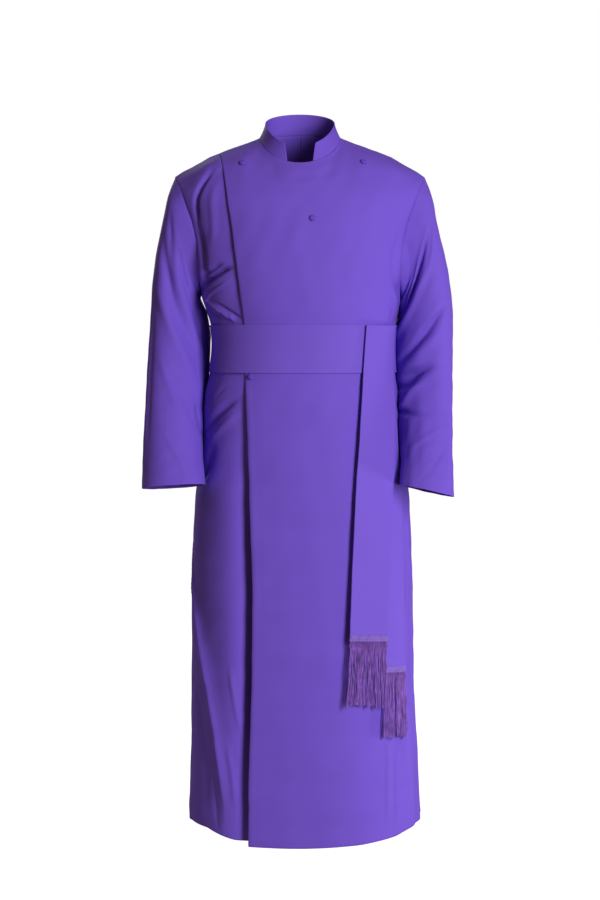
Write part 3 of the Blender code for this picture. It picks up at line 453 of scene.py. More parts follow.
# folds: turn and level where they start, the same where they end, half width, height out or in, bow
# in degrees. Turn is 0 at the centre front, 90 at the left side and 180 at the back. A fold that
# ends below the hem runs on through it
folds = dict(
    perDegree=0.0036,
    large=[
        (-63, -0.060, -84, -0.190, 0.0075, -0.0110, -3),
        (-84, -0.170, -78, -0.330, 0.012, -0.0100, 0),
        (-59, -0.080, -72, -0.235, 0.012, 0.0025, 0),
        (-86, -0.312, -54, -0.262, 0.017, -0.0160, 0),
        (-80, -0.286, -62, -0.256, 0.014, -0.0080, 0),
        (-76, -0.348, -50, -0.288, 0.006, 0.0050, 0),
        (-72, -0.325, -45, -0.378, 0.008, 0.0065, 0),
        (-80, -0.342, -56, -0.372, 0.007, -0.0045, 0),
        (82, -0.190, 76, -0.345, 0.014, -0.0045, 0),
        (66, -0.300, 74, -0.372, 0.010, 0.0030, 0),
        (-39, -0.520, -73, -0.602, 0.014, -0.0095, 0),
        (-38, -0.550, -66, -0.624, 0.011, 0.0045, 0),
        (-58, -0.620, -68, -0.700, 0.014, -0.0060, 0),
        (-82, -0.850, -41, -1.390, 0.016, 0.0060, 9),
        # a narrow ridge along the wide one above
        (-82, -0.850, -41, -1.390, 0.006, 0.0048, 9),
        (-72, -1.080, -56, -1.370, 0.012, -0.0035, 6),
        (-88, -0.700, -84, -1.370, 0.020, -0.0045, 0),
        (76, -0.740, 56, -1.300, 0.010, 0.0100, -7),
        (68, -1.100, 62, -1.420, 0.018, 0.0040, 0),
        (85, -0.760, 76, -1.330, 0.012, -0.0060, -4),
        (59, -0.620, 51, -1.020, 0.012, -0.0060, 0),
        (104, -0.620, 102, -1.420, 0.020, 0.0080, 2),
        (122, -0.560, 120, -1.420, 0.020, -0.0075, 0),
        (141, -0.520, 142, -1.420, 0.021, 0.0090, -2),
        (162, -0.600, 161, -1.420, 0.019, -0.0080, 0),
        (-179, -0.530, 178, -1.420, 0.021, 0.0085, 2),
        (-160, -0.560, -157, -1.420, 0.019, -0.0080, 0),
        (-138, -0.520, -137, -1.420, 0.021, 0.0090, 2),
        (-117, -0.640, -118, -1.420, 0.019, -0.0070, 0),
        (-101, -0.560, -103, -1.420, 0.018, 0.0065, 0),
        (112, -0.250, 128, -0.372, 0.013, 0.0055, 0),
        (150, -0.280, 156, -0.372, 0.012, 0.0045, 0),
        (-176, -0.200, -174, -0.372, 0.014, -0.0045, 0),
        (-146, -0.270, -152, -0.372, 0.012, 0.0045, 0),
        (-112, -0.240, -126, -0.372, 0.013, 0.0055, 0),
        (98, -0.200, 112, -0.310, 0.014, -0.0050, 0),
        (-98, -0.200, -112, -0.310, 0.014, -0.0050, 0),
    ],
    # creases laid over them
    small=[
        (-60, -0.333, -40, -0.374, 0.0065, -0.0045, 0),
        (-50, -0.355, -47, -0.380, 0.003, 0.0022, 0),
        (-57, -0.350, -53, -0.382, 0.003, -0.0018, 0),
        (66, -0.345, 67, -0.384, 0.003, -0.0030, 0),
        (62, -0.350, 61, -0.384, 0.003, 0.0025, 0),
        (40, -0.060, 56, -0.105, 0.006, 0.0012, 0),
        (44, -0.075, 60, -0.125, 0.006, -0.0014, 0),
        (-50, -0.500, -60, -0.530, 0.005, -0.0016, 0),
        (-86, -0.790, -68, -0.965, 0.005, 0.0026, 0),
        (-40, -1.050, -33, -1.205, 0.0045, 0.0036, 0),
        (-41, -1.205, -36, -1.345, 0.0045, 0.0038, 1),
        (46, -1.190, 43, -1.380, 0.0045, 0.0032, 0),
        (52, -1.200, 49, -1.400, 0.0045, 0.0032, 0),
        (-52, -1.230, -45, -1.400, 0.005, -0.0018, 0),
        (65, -0.260, 72, -0.302, 0.003, 0.0014, 0),
        (66, -0.860, 63, -1.060, 0.005, -0.0020, 0),
        (76, -0.960, 78, -1.300, 0.006, 0.0022, 0),
    ],
)


def foldHeight(table, turn, level):
    total = np.zeros(np.broadcast(turn, level).shape)
    for startTurn, start, endTurn, end, half, height, bow in table:
        drop = (start - level) / (start - end)
        inside = np.clip(drop, 0, 1)
        across = wrapped(endTurn - startTurn)
        middle = startTurn + across * inside + bow * 4 * inside * (1 - inside)
        away = wrapped(turn - middle) * folds["perDegree"]
        fade = smoothStep(drop, -0.02, 0.30)
        if end > body["hem"]:
            fade = fade * (1 - smoothStep(drop, 0.70, 1.02))
        total = total + height * fade * hump(away, half)
    return total


# a gentle unevenness, the same each run: a few long waves in mixed directions
def ripple(u, v, seed, longest, height):
    chance = random.Random(seed)
    total = 0.0
    for _ in range(9):
        heading = chance.uniform(0, 2 * math.pi)
        length = longest * chance.uniform(0.28, 1.0)
        phase = chance.uniform(0, 2 * math.pi)
        run = u * math.cos(heading) + v * math.sin(heading)
        total = total + np.sin(2 * math.pi * run / length + phase)
    return total * height / 3


# 1 under the band of the cincture, where the cloth lies smooth
def nearBand(level):
    rise = smoothStep(level, belt["bottom"] - belt["calm"], belt["bottom"] - 0.002)
    return rise * (1 - smoothStep(level, belt["top"] + 0.002, belt["top"] + belt["calm"]))


# normals with no tilt across the seams
def squared(normals, share, level, back):
    square = unit(normals)
    if back:
        square[..., 0] = np.where(np.abs(share) < 0.01, 0.0, square[..., 0])
    square[..., 1] = np.where(atSide(share, level) | atShoulder(share, level), 0.0, square[..., 1])
    return unit(square)


def atSide(share, level):
    return (np.abs(share) > 0.99) & (level < body["armhole"] + 0.001)


def atShoulder(share, level):
    return (level > body["top"] - 0.001) & (np.abs(share) > body["neckShare"] - 0.01)


def bodySkin(share, level, back, stand):
    share, level = np.broadcast_arrays(np.asarray(share, float), np.asarray(level, float))

    def smooth(s, l):
        return through(stations, stationPoints(s, back), l)

    step = 0.002
    across = smooth(np.minimum(share + step, 1), level) - smooth(np.maximum(share - step, -1), level)
    up = smooth(share, np.minimum(level + step, body["top"])) - smooth(share, level - step)
    normal = squared(np.cross(up, across) if back else np.cross(across, up), share, level, back)
    return smooth(share, level) + normal * np.broadcast_to(stand, share.shape)[..., None]


# the share where the smooth front has this x, for each level
def shareAtX(x, level):
    shares = np.linspace(-1, 1, 401)
    at = np.repeat(level[:, None], 401, axis=1)
    line = through(stations, stationPoints(np.broadcast_to(shares, at.shape), False), at)
    return np.array([np.interp(x[i], line[i, :, 0], shares) for i in range(len(level))])


def quarterGirth(level, back=False):
    at = np.repeat(level[:, None], 60, axis=1)
    shares = np.broadcast_to(np.linspace(0, 1, 60), at.shape)
    line = through(stations, stationPoints(shares, back), at)
    return np.linalg.norm(np.diff(line, axis=1), axis=2).sum(axis=1)


def openingShare(level):
    edges = np.append(body["sections"][:, 8], body["yokeOpening"])
    return shareAtX(np.interp(level, stations, edges), level)


# cloth meshes

def gridNormals(points, closed=False):
    up = np.gradient(points, axis=0)
    if closed:
        across = np.roll(points, -1, axis=1) - np.roll(points, 1, axis=1)
    else:
        across = np.gradient(points, axis=1)
    return unit(np.cross(across, up))


def gathered(name, points, faces, spots, finish):
    mesh = bpy.data.meshes.new(name)
    mesh.from_pydata(points.tolist(), [], faces)
    mesh.uv_layers.new(name="cloth").uv.foreach_set("vector", spots.astype(np.float32).ravel())
    mesh.materials.append(finish)
    mesh.shade_smooth()
    return linked(bpy.data.objects.new(name, mesh))


def cells(grid):
    corners = grid[:-1, :-1], grid[:-1, 1:], grid[1:, 1:], grid[1:, :-1]
    return np.stack(corners, axis=2).reshape(-1, 4)


# how a shell's edge is rounded, as shares of its thickness
rim = dict(push=0.42, first=0.22, second=0.78)


# a thin shell under a grid of points, with a UV map in metres. Its free edges are rounded, and seam
# edges, where puff is smaller, are flatter
def clothShell(name, outer, normals, thickness, finish, closed=False, puff=1.0):
    puff = np.broadcast_to(puff, outer.shape[:2])
    if (gridNormals(outer, closed) * normals).sum() < 0:
        outer, normals, puff = outer[:, ::-1], normals[:, ::-1], puff[:, ::-1]
    rows, columns = outer.shape[:2]
    count = rows * columns
    number = np.arange(count).reshape(rows, columns)
    ring = outer
    if closed:
        ring = np.concatenate([outer, outer[:, :1]], axis=1)
        number = np.concatenate([number, number[:, :1]], axis=1)
    across = np.linalg.norm(np.diff(ring, axis=1), axis=2).mean(axis=0)
    along = np.linalg.norm(np.diff(ring, axis=0), axis=2).mean(axis=1)
    spots = np.stack(np.meshgrid(np.append(0, np.cumsum(across)), np.append(0, np.cumsum(along))), axis=-1)
    spot = np.arange(spots.shape[0] * spots.shape[1]).reshape(spots.shape[:2])
    outside = outer.reshape(-1, 3)
    inside = (outer - normals * np.broadcast_to(thickness, (rows, columns))[..., None]).reshape(-1, 3)
    points = [outside, inside]
    faces = [cells(number), cells(number)[:, ::-1] + count]
    corners = [cells(spot), cells(spot)[:, ::-1]]

    def around(grid):
        return np.concatenate([grid[0], grid[1:, -1], grid[-1, -2::-1], grid[-2:0:-1, 0], grid[:1, 0]])

    loops = [(around(number), around(spot))]
    if closed:
        loops = [(number[0], spot[0]), (number[-1, ::-1], spot[-1, ::-1])]
    for place, onCloth in loops:
        size = len(place) - 1
        edge = outside[place[:-1]]
        depth = inside[place[:-1]] - edge
        run = np.roll(edge, -1, axis=0) - np.roll(edge, 1, axis=0)
        push = unit(np.cross(depth, run)) * np.linalg.norm(depth, axis=1, keepdims=True) * rim["push"]
        push = push * puff.reshape(-1)[place[:-1] % count][:, None]
        wrap = np.append(np.arange(size), 0) + sum(len(part) for part in points)
        points += [edge + depth * rim["first"] + push, edge + depth * rim["second"] + push]
        lines = [place, wrap, wrap + size, place + count]
        for first, second in zip(lines, lines[1:]):
            faces.append(np.stack([first[1:], first[:-1], second[:-1], second[1:]], axis=1))
            corners.append(np.stack([onCloth[1:], onCloth[:-1], onCloth[:-1], onCloth[1:]], axis=1))
    uvs = spots.reshape(-1, 2)[np.concatenate(corners).ravel()]
    return gathered(name, np.concatenate(points), np.concatenate(faces).tolist(), uvs, finish)


def declare(piece, node, slot, **sheet):
    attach(piece, "root")
    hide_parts(node)


# shares across a panel for each row, evenly spaced between its knots
def spread(knots, spaces):
    parts = [knots[0][:, None]]
    for low, high, count in zip(knots[:-1], knots[1:], spaces):
        parts.append(low[:, None] + (high - low)[:, None] * np.linspace(0, 1, count + 1)[None, 1:])
    return np.concatenate(parts, axis=1)


# levels for a panel's points, with its hem raised as its table says
def hung(level, share, hem):
    rise = np.interp(share, [row[0] for row in hem], [row[1] for row in hem])
    return level[:, None] + rise * (1 - smoothStep(level[:, None] - body["hem"], 0.0, 0.30))


# fronts and backs

panels = dict(
    rowBands=[
        (-1.4090, -0.9000, 96), (-0.9000, -0.5200, 74), (-0.5200, -0.4780, 10), (-0.4780, -0.3780, 12),
        (-0.3780, -0.3200, 22), (-0.3200, -0.1200, 58), (-0.1200, 0.0050, 30),
    ],
    lapSpaces=18, underSpaces=70, overSpaces=(84, 44), backSpaces=(36, 44), underlap=0.085,
    # share of the row, and how much higher than the lowest section the hem hangs there
    underHem=[(-1.0, 0.010), (-0.8, 0.021), (-0.6, 0.022), (-0.4, 0.008), (0.0, 0.004)],
    overHem=[(-0.4, 0.0), (0.0, 0.0), (0.3, 0.003), (0.55, 0.009), (0.75, 0.020), (1.0, 0.009)],
    backHem=[(-1.0, 0.010), (-0.5, 0.016), (0.0, 0.006), (0.5, 0.014), (1.0, 0.009)],
    # how far the under front lies back beside the opening, by level
    recessLevels=(
        -1.410, -1.100, -0.800, -0.600, -0.520, -0.476, -0.378, -0.300, -0.160, -0.080, -0.045, 0.005,
    ),
    recessDepths=(
        0.0150, 0.0300, 0.0220, 0.0070, 0.0030, 0.0006, 0.0006, 0.0045, 0.0035, 0.0010, 0.0, 0.0,
    ),
    recessWidth=0.028, layerGap=0.0010, layerReach=(0.010, 0.070), flushReach=(0.0005, 0.004),
    flushLevels=(-0.082, -0.066), openingLift=0.0025, openingReach=0.05, openingFade=(0.060, 0.012),
    borderRise=0.0011, borderAt=0.006, borderHalf=0.0045, seamDepth=0.0005, seamReach=0.0035,
    rippleSpan=0.27,
)


class Panel:
    def __init__(self, share, hem, girth, seed, back=False, stand=0.0):
        level = hung(levels, share, hem)
        self.share, self.level = share, level
        turn = np.where(share < 0, -180, 180) - 90 * share if back else 90 * share
        shape = foldHeight(folds["large"], turn, level) + foldHeight(folds["small"], turn, level)
        place = share * panels["rippleSpan"]
        shape = shape + ripple(place, level, seed, 0.16, 0.0006)
        shape = shape + ripple(place, level * 0.35, seed + 40, 0.09, 0.0004)
        beside = (1 - np.abs(share)) * girth[:, None]
        if back:
            beside = np.minimum(beside, np.abs(share) * girth[:, None])
        below = np.where(np.abs(share) > body["neckShare"], (body["top"] - level) * 0.9, 1.0)
        seam = panels["seamDepth"] * hump(np.minimum(beside, below), panels["seamReach"])
        height = shape * (1 - nearBand(level)) - seam + stand
        self.grid = bodySkin(share, level, back, height)
        pull = (body["seamGap"] / 2) * (1 if back else -1)
        self.grid[..., 1] += np.where(atShoulder(share, level), pull, 0.0)
        normals = gridNormals(self.grid) * (-1 if back else 1)
        self.normals = squared(normals, share, level, back)
        free = (level < body["top"] - 0.001) & (np.abs(share) < 0.99)
        if back:
            free = free & (np.abs(share) > 0.01)
        self.puff = np.where(free, 1.0, body["seamPuff"])

    def shell(self, name, node, **sheet):
        made = clothShell(name, self.grid, self.normals, body["cloth"], cassockCloth, puff=self.puff)
        declare(made, node, "cassock_cloth", **sheet)


def rowLevels(bands):
    rows = [bands[0][0]]
    for low, high, spaces in bands:
        rows += list(np.linspace(low, high, spaces + 1)[1:])
    return np.array(rows)


levels = rowLevels(panels["rowBands"])
frontGirth = quarterGirth(levels)
backGirth = quarterGirth(levels, back=True)
lapEdge = openingShare(levels)
trim = body["seamGap"] / 2 / frontGirth
lapEnd = lapEdge + panels["underlap"] / frontGirth
lapEnd += (-body["neckShare"] - lapEnd) * smoothStep(levels, -0.25, body["top"])
neck = np.full(len(levels), body["neckShare"])
overShare = spread((lapEdge, lapEnd, neck, 1 - trim), (panels["lapSpaces"], *panels["overSpaces"]))
underShare = spread((trim - 1, lapEdge, lapEnd), (panels["underSpaces"], panels["lapSpaces"]))
rearTrim = body["seamGap"] / 2 / backGirth
rearShare = spread((rearTrim, neck, 1 - rearTrim), panels["backSpaces"])


# the under front lies behind the over front, and hollows away beside its edge
def underStand(share):
    beside = (lapEdge[:, None] - share) * frontGirth[:, None]
    flush = smoothStep(levels, *panels["flushLevels"])[:, None]
    reaches = zip(panels["layerReach"], panels["flushReach"])
    near = 1 - smoothStep(beside, *[wide + (slim - wide) * flush for wide, slim in reaches])
    hollow = hump(np.maximum(beside, 0), panels["recessWidth"])
    recess = np.interp(levels, panels["recessLevels"], panels["recessDepths"])[:, None]
    return -(body["cloth"] + panels["layerGap"]) * near - recess * hollow


# the over front lifts a little towards its edge, below the band
def overStand(share):
    beside = (share - lapEdge[:, None]) * frontGirth[:, None]
    lifted = panels["openingLift"] * (1 - smoothStep(beside, 0.0, panels["openingReach"]))
    low, high = panels["openingFade"]
    below = 1 - smoothStep(levels, belt["bottom"] - low, belt["bottom"] - high)
    border = panels["borderRise"] * hump(beside - panels["borderAt"], panels["borderHalf"])
    return (lifted + border) * below[:, None]


over = Panel(overShare, panels["overHem"], frontGirth, stand=overStand(overShare), seed=1)
under = Panel(underShare, panels["underHem"], frontGirth, stand=underStand(underShare), seed=1)
rearLeft = Panel(rearShare, panels["backHem"], backGirth, back=True, seed=5)
rearRight = Panel(-rearShare[:, ::-1], panels["backHem"], backGirth, back=True, seed=5)
print("panels laid out", over.grid.shape, under.grid.shape, rearLeft.grid.shape)


# sleeves: each ring has outer x and z, inner x and z, how far back the inner side lies, middle depth,
# half depth and lift of the front. Folds have turn and share of the length at each end, half width and
# height. Turn is 0 outside, 90 in front, 180 inside and 270 behind
sleeves = dict(
    leftRings=[
        (0.2680, -0.1150, 0.2060, -0.3330, 0.014, 0.004, 0.0640, 0.000),
        (0.2790, -0.1680, 0.2010, -0.3440, 0.024, 0.002, 0.0690, 0.000),
        (0.2935, -0.2300, 0.1965, -0.3600, 0.030, 0.000, 0.0710, 0.000),
        (0.3065, -0.2920, 0.1940, -0.3850, 0.032, -0.002, 0.0700, 0.000),
        (0.3120, -0.3600, 0.1940, -0.4200, 0.032, -0.006, 0.0680, 0.001),
        (0.3110, -0.4500, 0.1960, -0.4800, 0.028, -0.018, 0.0660, 0.002),
        (0.3085, -0.5500, 0.2010, -0.5600, 0.018, -0.050, 0.0640, 0.004),
        (0.3065, -0.6400, 0.2040, -0.6350, 0.008, -0.092, 0.0600, 0.005),
        (0.3065, -0.7220, 0.1970, -0.6980, 0.000, -0.132, 0.0570, 0.006),
    ],
    rightRings=[
        (0.2680, -0.1150, 0.2060, -0.3330, 0.014, 0.004, 0.0640, 0.000),
        (0.2800, -0.1680, 0.1975, -0.3440, 0.028, 0.002, 0.0690, 0.000),
        (0.2930, -0.2300, 0.1910, -0.3600, 0.034, 0.000, 0.0710, 0.000),
        (0.3005, -0.2920, 0.1870, -0.3850, 0.036, -0.002, 0.0700, 0.000),
        (0.3030, -0.3600, 0.1880, -0.4200, 0.034, -0.006, 0.0680, 0.001),
        (0.3090, -0.4700, 0.1905, -0.4900, 0.028, -0.022, 0.0660, 0.003),
        (0.3125, -0.5650, 0.1950, -0.5700, 0.016, -0.055, 0.0650, 0.006),
        (0.3150, -0.6500, 0.1960, -0.6400, 0.008, -0.092, 0.0620, 0.008),
        (0.3150, -0.7060, 0.1890, -0.6980, 0.000, -0.125, 0.0600, 0.008),
    ],
    leftFolds=[
        (88, 0.12, 176, 0.315, 0.008, -0.0130), (80, 0.17, 160, 0.36, 0.011, 0.0045),
        (52, 0.34, 150, 0.485, 0.010, -0.0090), (60, 0.40, 140, 0.53, 0.012, 0.0040),
        (103, 0.515, 160, 0.59, 0.018, -0.0175), (104, 0.575, 160, 0.68, 0.009, 0.0060),
        (122, 0.705, 170, 0.67, 0.012, -0.0060), (205, 0.60, 200, 0.88, 0.026, 0.0070),
        (122, 0.10, 176, 0.27, 0.016, -0.0060),
        (28, 0.60, 44, 0.98, 0.014, 0.0040), (300, 0.40, 230, 0.55, 0.014, -0.0060),
        (310, 0.60, 215, 0.68, 0.013, -0.0070), (330, 0.12, 262, 0.38, 0.014, -0.0050),
    ],
    rightFolds=[
        (66, 0.08, 84, 0.30, 0.012, -0.0035), (50, 0.17, 122, 0.45, 0.015, -0.0080),
        (46, 0.30, 140, 0.62, 0.014, 0.0040), (100, 0.12, 150, 0.42, 0.012, -0.0060),
        (205, 0.30, 200, 0.60, 0.026, 0.0050),
        (18, 0.30, 22, 0.90, 0.012, 0.0035), (140, 0.66, 168, 0.80, 0.012, -0.0060),
        (300, 0.42, 225, 0.56, 0.014, -0.0060), (312, 0.62, 220, 0.70, 0.013, -0.0065),
        (332, 0.12, 262, 0.38, 0.014, -0.0050),
    ],
    leftCreases=[
        (30, 0.05, 82, 0.21, 0.005, 0.0030), (70, 0.76, 130, 0.84, 0.006, 0.0018),
        (60, 0.84, 104, 0.97, 0.006, -0.0014),
        (20, 0.64, 30, 0.92, 0.005, -0.0018),
    ],
    rightCreases=[
        (120, 0.10, 138, 0.34, 0.008, -0.0016), (74, 0.34, 120, 0.50, 0.007, -0.0018),
        (60, 0.52, 110, 0.74, 0.008, 0.0020), (100, 0.62, 140, 0.78, 0.007, -0.0018),
        (28, 0.38, 34, 0.80, 0.007, -0.0018),
        (80, 0.80, 120, 0.96, 0.006, 0.0018),
    ],
    squareness=2.15, evenAt=5, ease=1.5, length=0.62, perDegree=0.0010, spaces=164,
)


def sleeveHeight(table, turn, at):
    height = np.zeros(np.broadcast(turn, at).shape)
    for startTurn, start, endTurn, end, half, tall in table:
        drop = (at - start) / (end - start)
        middle = startTurn + (endTurn - startTurn) * np.clip(drop, 0, 1)
        slant = (endTurn - startTurn) * sleeves["perDegree"]
        run = (end - start) * sleeves["length"]
        away = wrapped(turn - middle) * sleeves["perDegree"] * run / math.hypot(run, slant)
        fade = smoothStep(drop, -0.15, 0.25) * (1 - smoothStep(drop, 0.75, 1.15))
        height = height + tall * fade * hump(away, half)
    return height * smoothStep(at, 0.0, 0.10)


# a sleeve joined to a front and a back, whose armhole normals it evens out
def sleeve(side, name, front, back, seed):
    column = -1 if side > 0 else 0
    upper = np.flatnonzero(levels > body["armhole"] - 0.001)
    down, up = upper[::-1], upper[1:-1]
    seam = np.concatenate([front.grid[down, column], back.grid[up, column]])
    seamNormals = np.concatenate([front.normals[down, column], back.normals[up, column]])
    turns = len(seam)
    even = np.arange(turns) / turns
    steps = np.linalg.norm(np.roll(seam, -1, axis=0) - seam, axis=1)
    byLength = np.append(0, np.cumsum(steps[:-1])) / steps.sum()
    rings = [seam]
    power = 2 / sleeves["squareness"]
    for number, ring in enumerate(sleeves[name + "Rings"]):
        outerX, outerZ, innerX, innerZ, slant, middle, half, lift = ring
        angle = 2 * np.pi * (byLength + (even - byLength) * min(1.0, (number + 1) / sleeves["evenAt"]))
        reach = np.sign(np.cos(angle)) * np.abs(np.cos(angle)) ** power
        bulge = np.sign(np.sin(angle)) * np.abs(np.sin(angle)) ** power
        outer = np.array([side * outerX, middle, outerZ])
        inner = np.array([side * innerX, middle + slant, innerZ])
        line = (outer + inner) / 2 + reach[:, None] * (outer - inner) / 2
        line[:, 1] -= bulge * half
        line[:, 2] += bulge * lift
        rings.append(line)
    rings = np.stack(rings)
    underarm = (1 - np.cos(2 * np.pi * even)) / 2
    rings[0] += unit(rings[1] - rings[0]) * (body["seamGap"] * (1 + sleeves["ease"] * underarm[:, None]))
    lengths = np.linalg.norm(np.diff(rings, axis=0), axis=-1).mean(axis=1)
    along = np.append(0, np.cumsum(lengths)) / lengths.sum()
    at = np.repeat(np.linspace(0, 1, sleeves["spaces"] + 1)[:, None], turns, axis=1)
    smooth = through(along, rings[:, None], at)
    turn = 360 * even[None, :]
    around = np.radians(turn)
    height = sleeveHeight(sleeves[name + "Folds"], turn, at)
    height += sleeveHeight(sleeves[name + "Creases"], turn, at)
    height += ripple(np.cos(around) * 0.07 + np.sin(around) * 0.05, at * 0.6, seed, 0.12, 0.0006)
    height -= panels["seamDepth"] * hump(at * sleeves["length"], panels["seamReach"])
    grid = smooth + gridNormals(smooth, True) * side * height[..., None]
    normals = gridNormals(grid, True) * side
    normals[0] = unit(normals[0] + seamNormals)
    front.normals[down, column] = normals[0, : len(down)]
    back.normals[down, column] = normals[0, [0, *range(turns - 1, len(down) - 2, -1)]]
    puff = np.where(at > 0, 1.0, body["seamPuff"])
    made = clothShell(name + "Sleeve", grid, normals, body["cloth"], cassockCloth, closed=True, puff=puff)
    declare(made, "sleeve_" + name, "cassock_cloth", flat=(0.42, 0.62), held="draped", area=0.21)


sleeve(1, "left", over, rearLeft, seed=21)
sleeve(-1, "right", under, rearRight, seed=23)
over.shell("overFront", "front_left", flat=(0.56, 1.42), held="draped", area=0.60)
under.shell("underFront", "front_right", flat=(0.36, 1.42), held="draped", area=0.385)
rearLeft.shell("backLeft", "back_left", flat=(0.36, 1.44), held="draped", area=0.42)
rearRight.shell("backRight", "back_right", flat=(0.36, 1.44), held="draped", area=0.42)
print("fronts, backs and sleeves made")


# the standing collar, open in a notch at the front

collar = dict(
    topHalf=0.0705, topFront=(-0.0800, -0.0235), topSide=(0.0030, 0.0290), topBack=(0.0680, 0.0540),
    notchBase=0.0265, notchTop=0.0320, spaces=(34, 50), rows=22, gap=0.0003, hollow=0.0048, cloth=0.0020,
    bead=0.0005, beadReach=0.0022, seamPuff=0.15,
)


# points of a ring round the neck, from one side of the notch round the back to the other
def collarRow(front, back, notch):
    lengths = runLength(front)
    start = np.interp(notch, front[:, 0], lengths / lengths[-1])
    half = spread(np.array([[start], [1.0], [2.0]]), collar["spaces"])[0]
    places = np.concatenate([-half, half[-2::-1]])
    amount = np.abs(places)
    onFront = resampled(front, np.clip(amount, 0, 1))
    onBack = resampled(back, np.clip(2 - amount, 0, 1))
    points = np.where((amount < 1)[:, None], onFront, onBack)
    points[:, 0] *= np.where(places < 0, -1, 1)
    return points


def makeCollar():
    topQuarters = [
        neckQuarter(collar["topHalf"], collar["topFront"], collar["topSide"], False),
        neckQuarter(collar["topHalf"], collar["topBack"], collar["topSide"], True),
    ]
    bottom = collarRow(neckLine(False), neckLine(True), collar["notchBase"])
    top = collarRow(*topQuarters, collar["notchTop"])
    bottom = bottom + unit(top - bottom) * collar["gap"]
    share = np.linspace(0, 1, collar["rows"] + 1)[:, None, None]
    grid = bottom + (top - bottom) * share
    out = -gridNormals(grid)
    length = runLength(bottom)
    toEnd = np.minimum(length, length[-1] - length)[None, :]
    toTop = (1 - share[..., 0]) * np.linalg.norm(top - bottom, axis=1)[None, :]
    bead = collar["bead"] * hump(np.minimum(toEnd, toTop), collar["beadReach"])
    grid = grid + out * (bead - collar["hollow"] * share[..., 0] * (1 - share[..., 0]))[..., None]
    normals = -gridNormals(grid)
    puff = np.where(share[..., 0] > 0, 1.0, collar["seamPuff"])
    made = clothShell("collarBand", grid, normals, collar["cloth"], cassockCloth, puff=puff)
    declare(made, "collar", "cassock_cloth", flat=(0.46, 0.05), held="draped", area=0.016)


makeCollar()
print("collar made")


# the band of the cincture, round the waist, with a slim bead along each edge

def makeBand():
    level = np.linspace(belt["bottom"], belt["top"], belt["rows"] + 1)[:, None]
    share = np.linspace(-1, 1, belt["turns"] // 2 + 1)[None, :]
    toEdge = np.minimum(level - belt["bottom"], belt["top"] - level)
    bead = belt["bead"] * hump(toEdge, belt["beadReach"])
    bead = bead - belt["groove"] * hump(toEdge - belt["grooveAt"], belt["grooveReach"])

    def ring(shares, back):
        wave = ripple(shares * (0.27 if back else 0.33), level * 2.2, 61 + back, 0.20, 0.00025)
        wave = wave * (1 - shares**8)
        stand = belt["stand"] + belt["cloth"] + bead + np.maximum(wave, -belt["deepest"])
        return bodySkin(shares, level, back, stand)

    grid = np.concatenate([ring(share, False), ring(share[:, ::-1], True)[:, 1:-1]], axis=1)
    normals = gridNormals(grid, True)
    made = clothShell("cinctureBand", grid, normals, belt["cloth"], cinctureCloth, closed=True)
    declare(made, "cincture_band", "cincture_cloth", flat=(1.05, 0.098), held="stretched", area=0.098)


makeBand()


# the two falls of the cincture: left edge across the front by level, width, and how far the outside
# stands off. Flare is how far the fringe spreads, as a share of its width, and where it hangs plumb

falls = dict(
    levels=(-1.2000, -0.9900, -0.9230, -0.7260, -0.6000, -0.4755, -0.3815),
    columns=26, rows=240, cloth=0.0022, bead=0.0003, beadReach=0.0020, slant=0.0055,
    front=dict(
        x=(0.0900, 0.0935, 0.0960, 0.1050, 0.1130, 0.1210, 0.1280),
        width=(0.0755, 0.0755, 0.0755, 0.0800, 0.0850, 0.0850, 0.0850),
        off=(0.0175, 0.0170, 0.0155, 0.0120, 0.0108, 0.0096, 0.0092),
        lift=0.0035, end=-0.9890, flare=(0.12, 0.80), strands=32, seed=3,
    ),
    rear=dict(
        x=(0.1635, 0.1630, 0.1620, 0.1600, 0.1570, 0.1500, 0.1400),
        width=(0.0540, 0.0540, 0.0540, 0.0540, 0.0540, 0.0540, 0.0540),
        off=(0.0130, 0.0120, 0.0110, 0.0082, 0.0072, 0.0061, 0.0058),
        lift=0.0, end=-1.0570, flare=(0.26, 0.45), strands=22, seed=8,
    ),
)
heading = dict(
    height=0.0120, thickness=0.0030, gap=0.0004, ribs=4, ribHeight=0.0006, cordHeight=0.00018,
    columns=92, rows=32,
)


# points at shares across a fall, one level to a row, this far in from its outside
def fallPoints(fall, across, level, depth):
    across, level = np.broadcast_arrays(across, level)
    rows = level[:, 0]
    start = shareAtX(np.interp(rows, falls["levels"], fall["x"]), rows)
    width = np.interp(rows, falls["levels"], fall["width"]) / quarterGirth(rows)
    stand = np.interp(rows, falls["levels"], fall["off"])[:, None]
    stand = stand + fall["lift"] * (2 * across - 1) ** 2 * smoothStep(-level, 0.40, 0.60)
    slanted = level - falls["slant"] * across * smoothStep(-level, 0.50, 0.95)
    return bodySkin(start[:, None] + across * width[:, None], slanted, False, stand - depth)


def makeFall(name, node, fall, **sheet):
    across = np.linspace(0, 1, falls["columns"] + 1)[None, :]
    level = np.linspace(fall["end"], belt["top"], falls["rows"] + 1)[:, None]
    toEdge = np.minimum(across, 1 - across) * fall["width"][0]
    bead = falls["bead"] * hump(toEdge, falls["beadReach"])
    wave = ripple(across * fall["width"][0], level, fall["seed"], 0.15, 0.0008)
    wave = wave * smoothStep(-level, 0.42, 0.60)
    wave = wave * (1 - smoothStep(-level, -fall["end"] - 0.03, -fall["end"]))
    grid = fallPoints(fall, across, level, -bead - wave)
    made = clothShell(name, grid, gridNormals(grid), falls["cloth"], cinctureCloth)
    declare(made, node, "cincture_cloth", held="hung", **sheet)


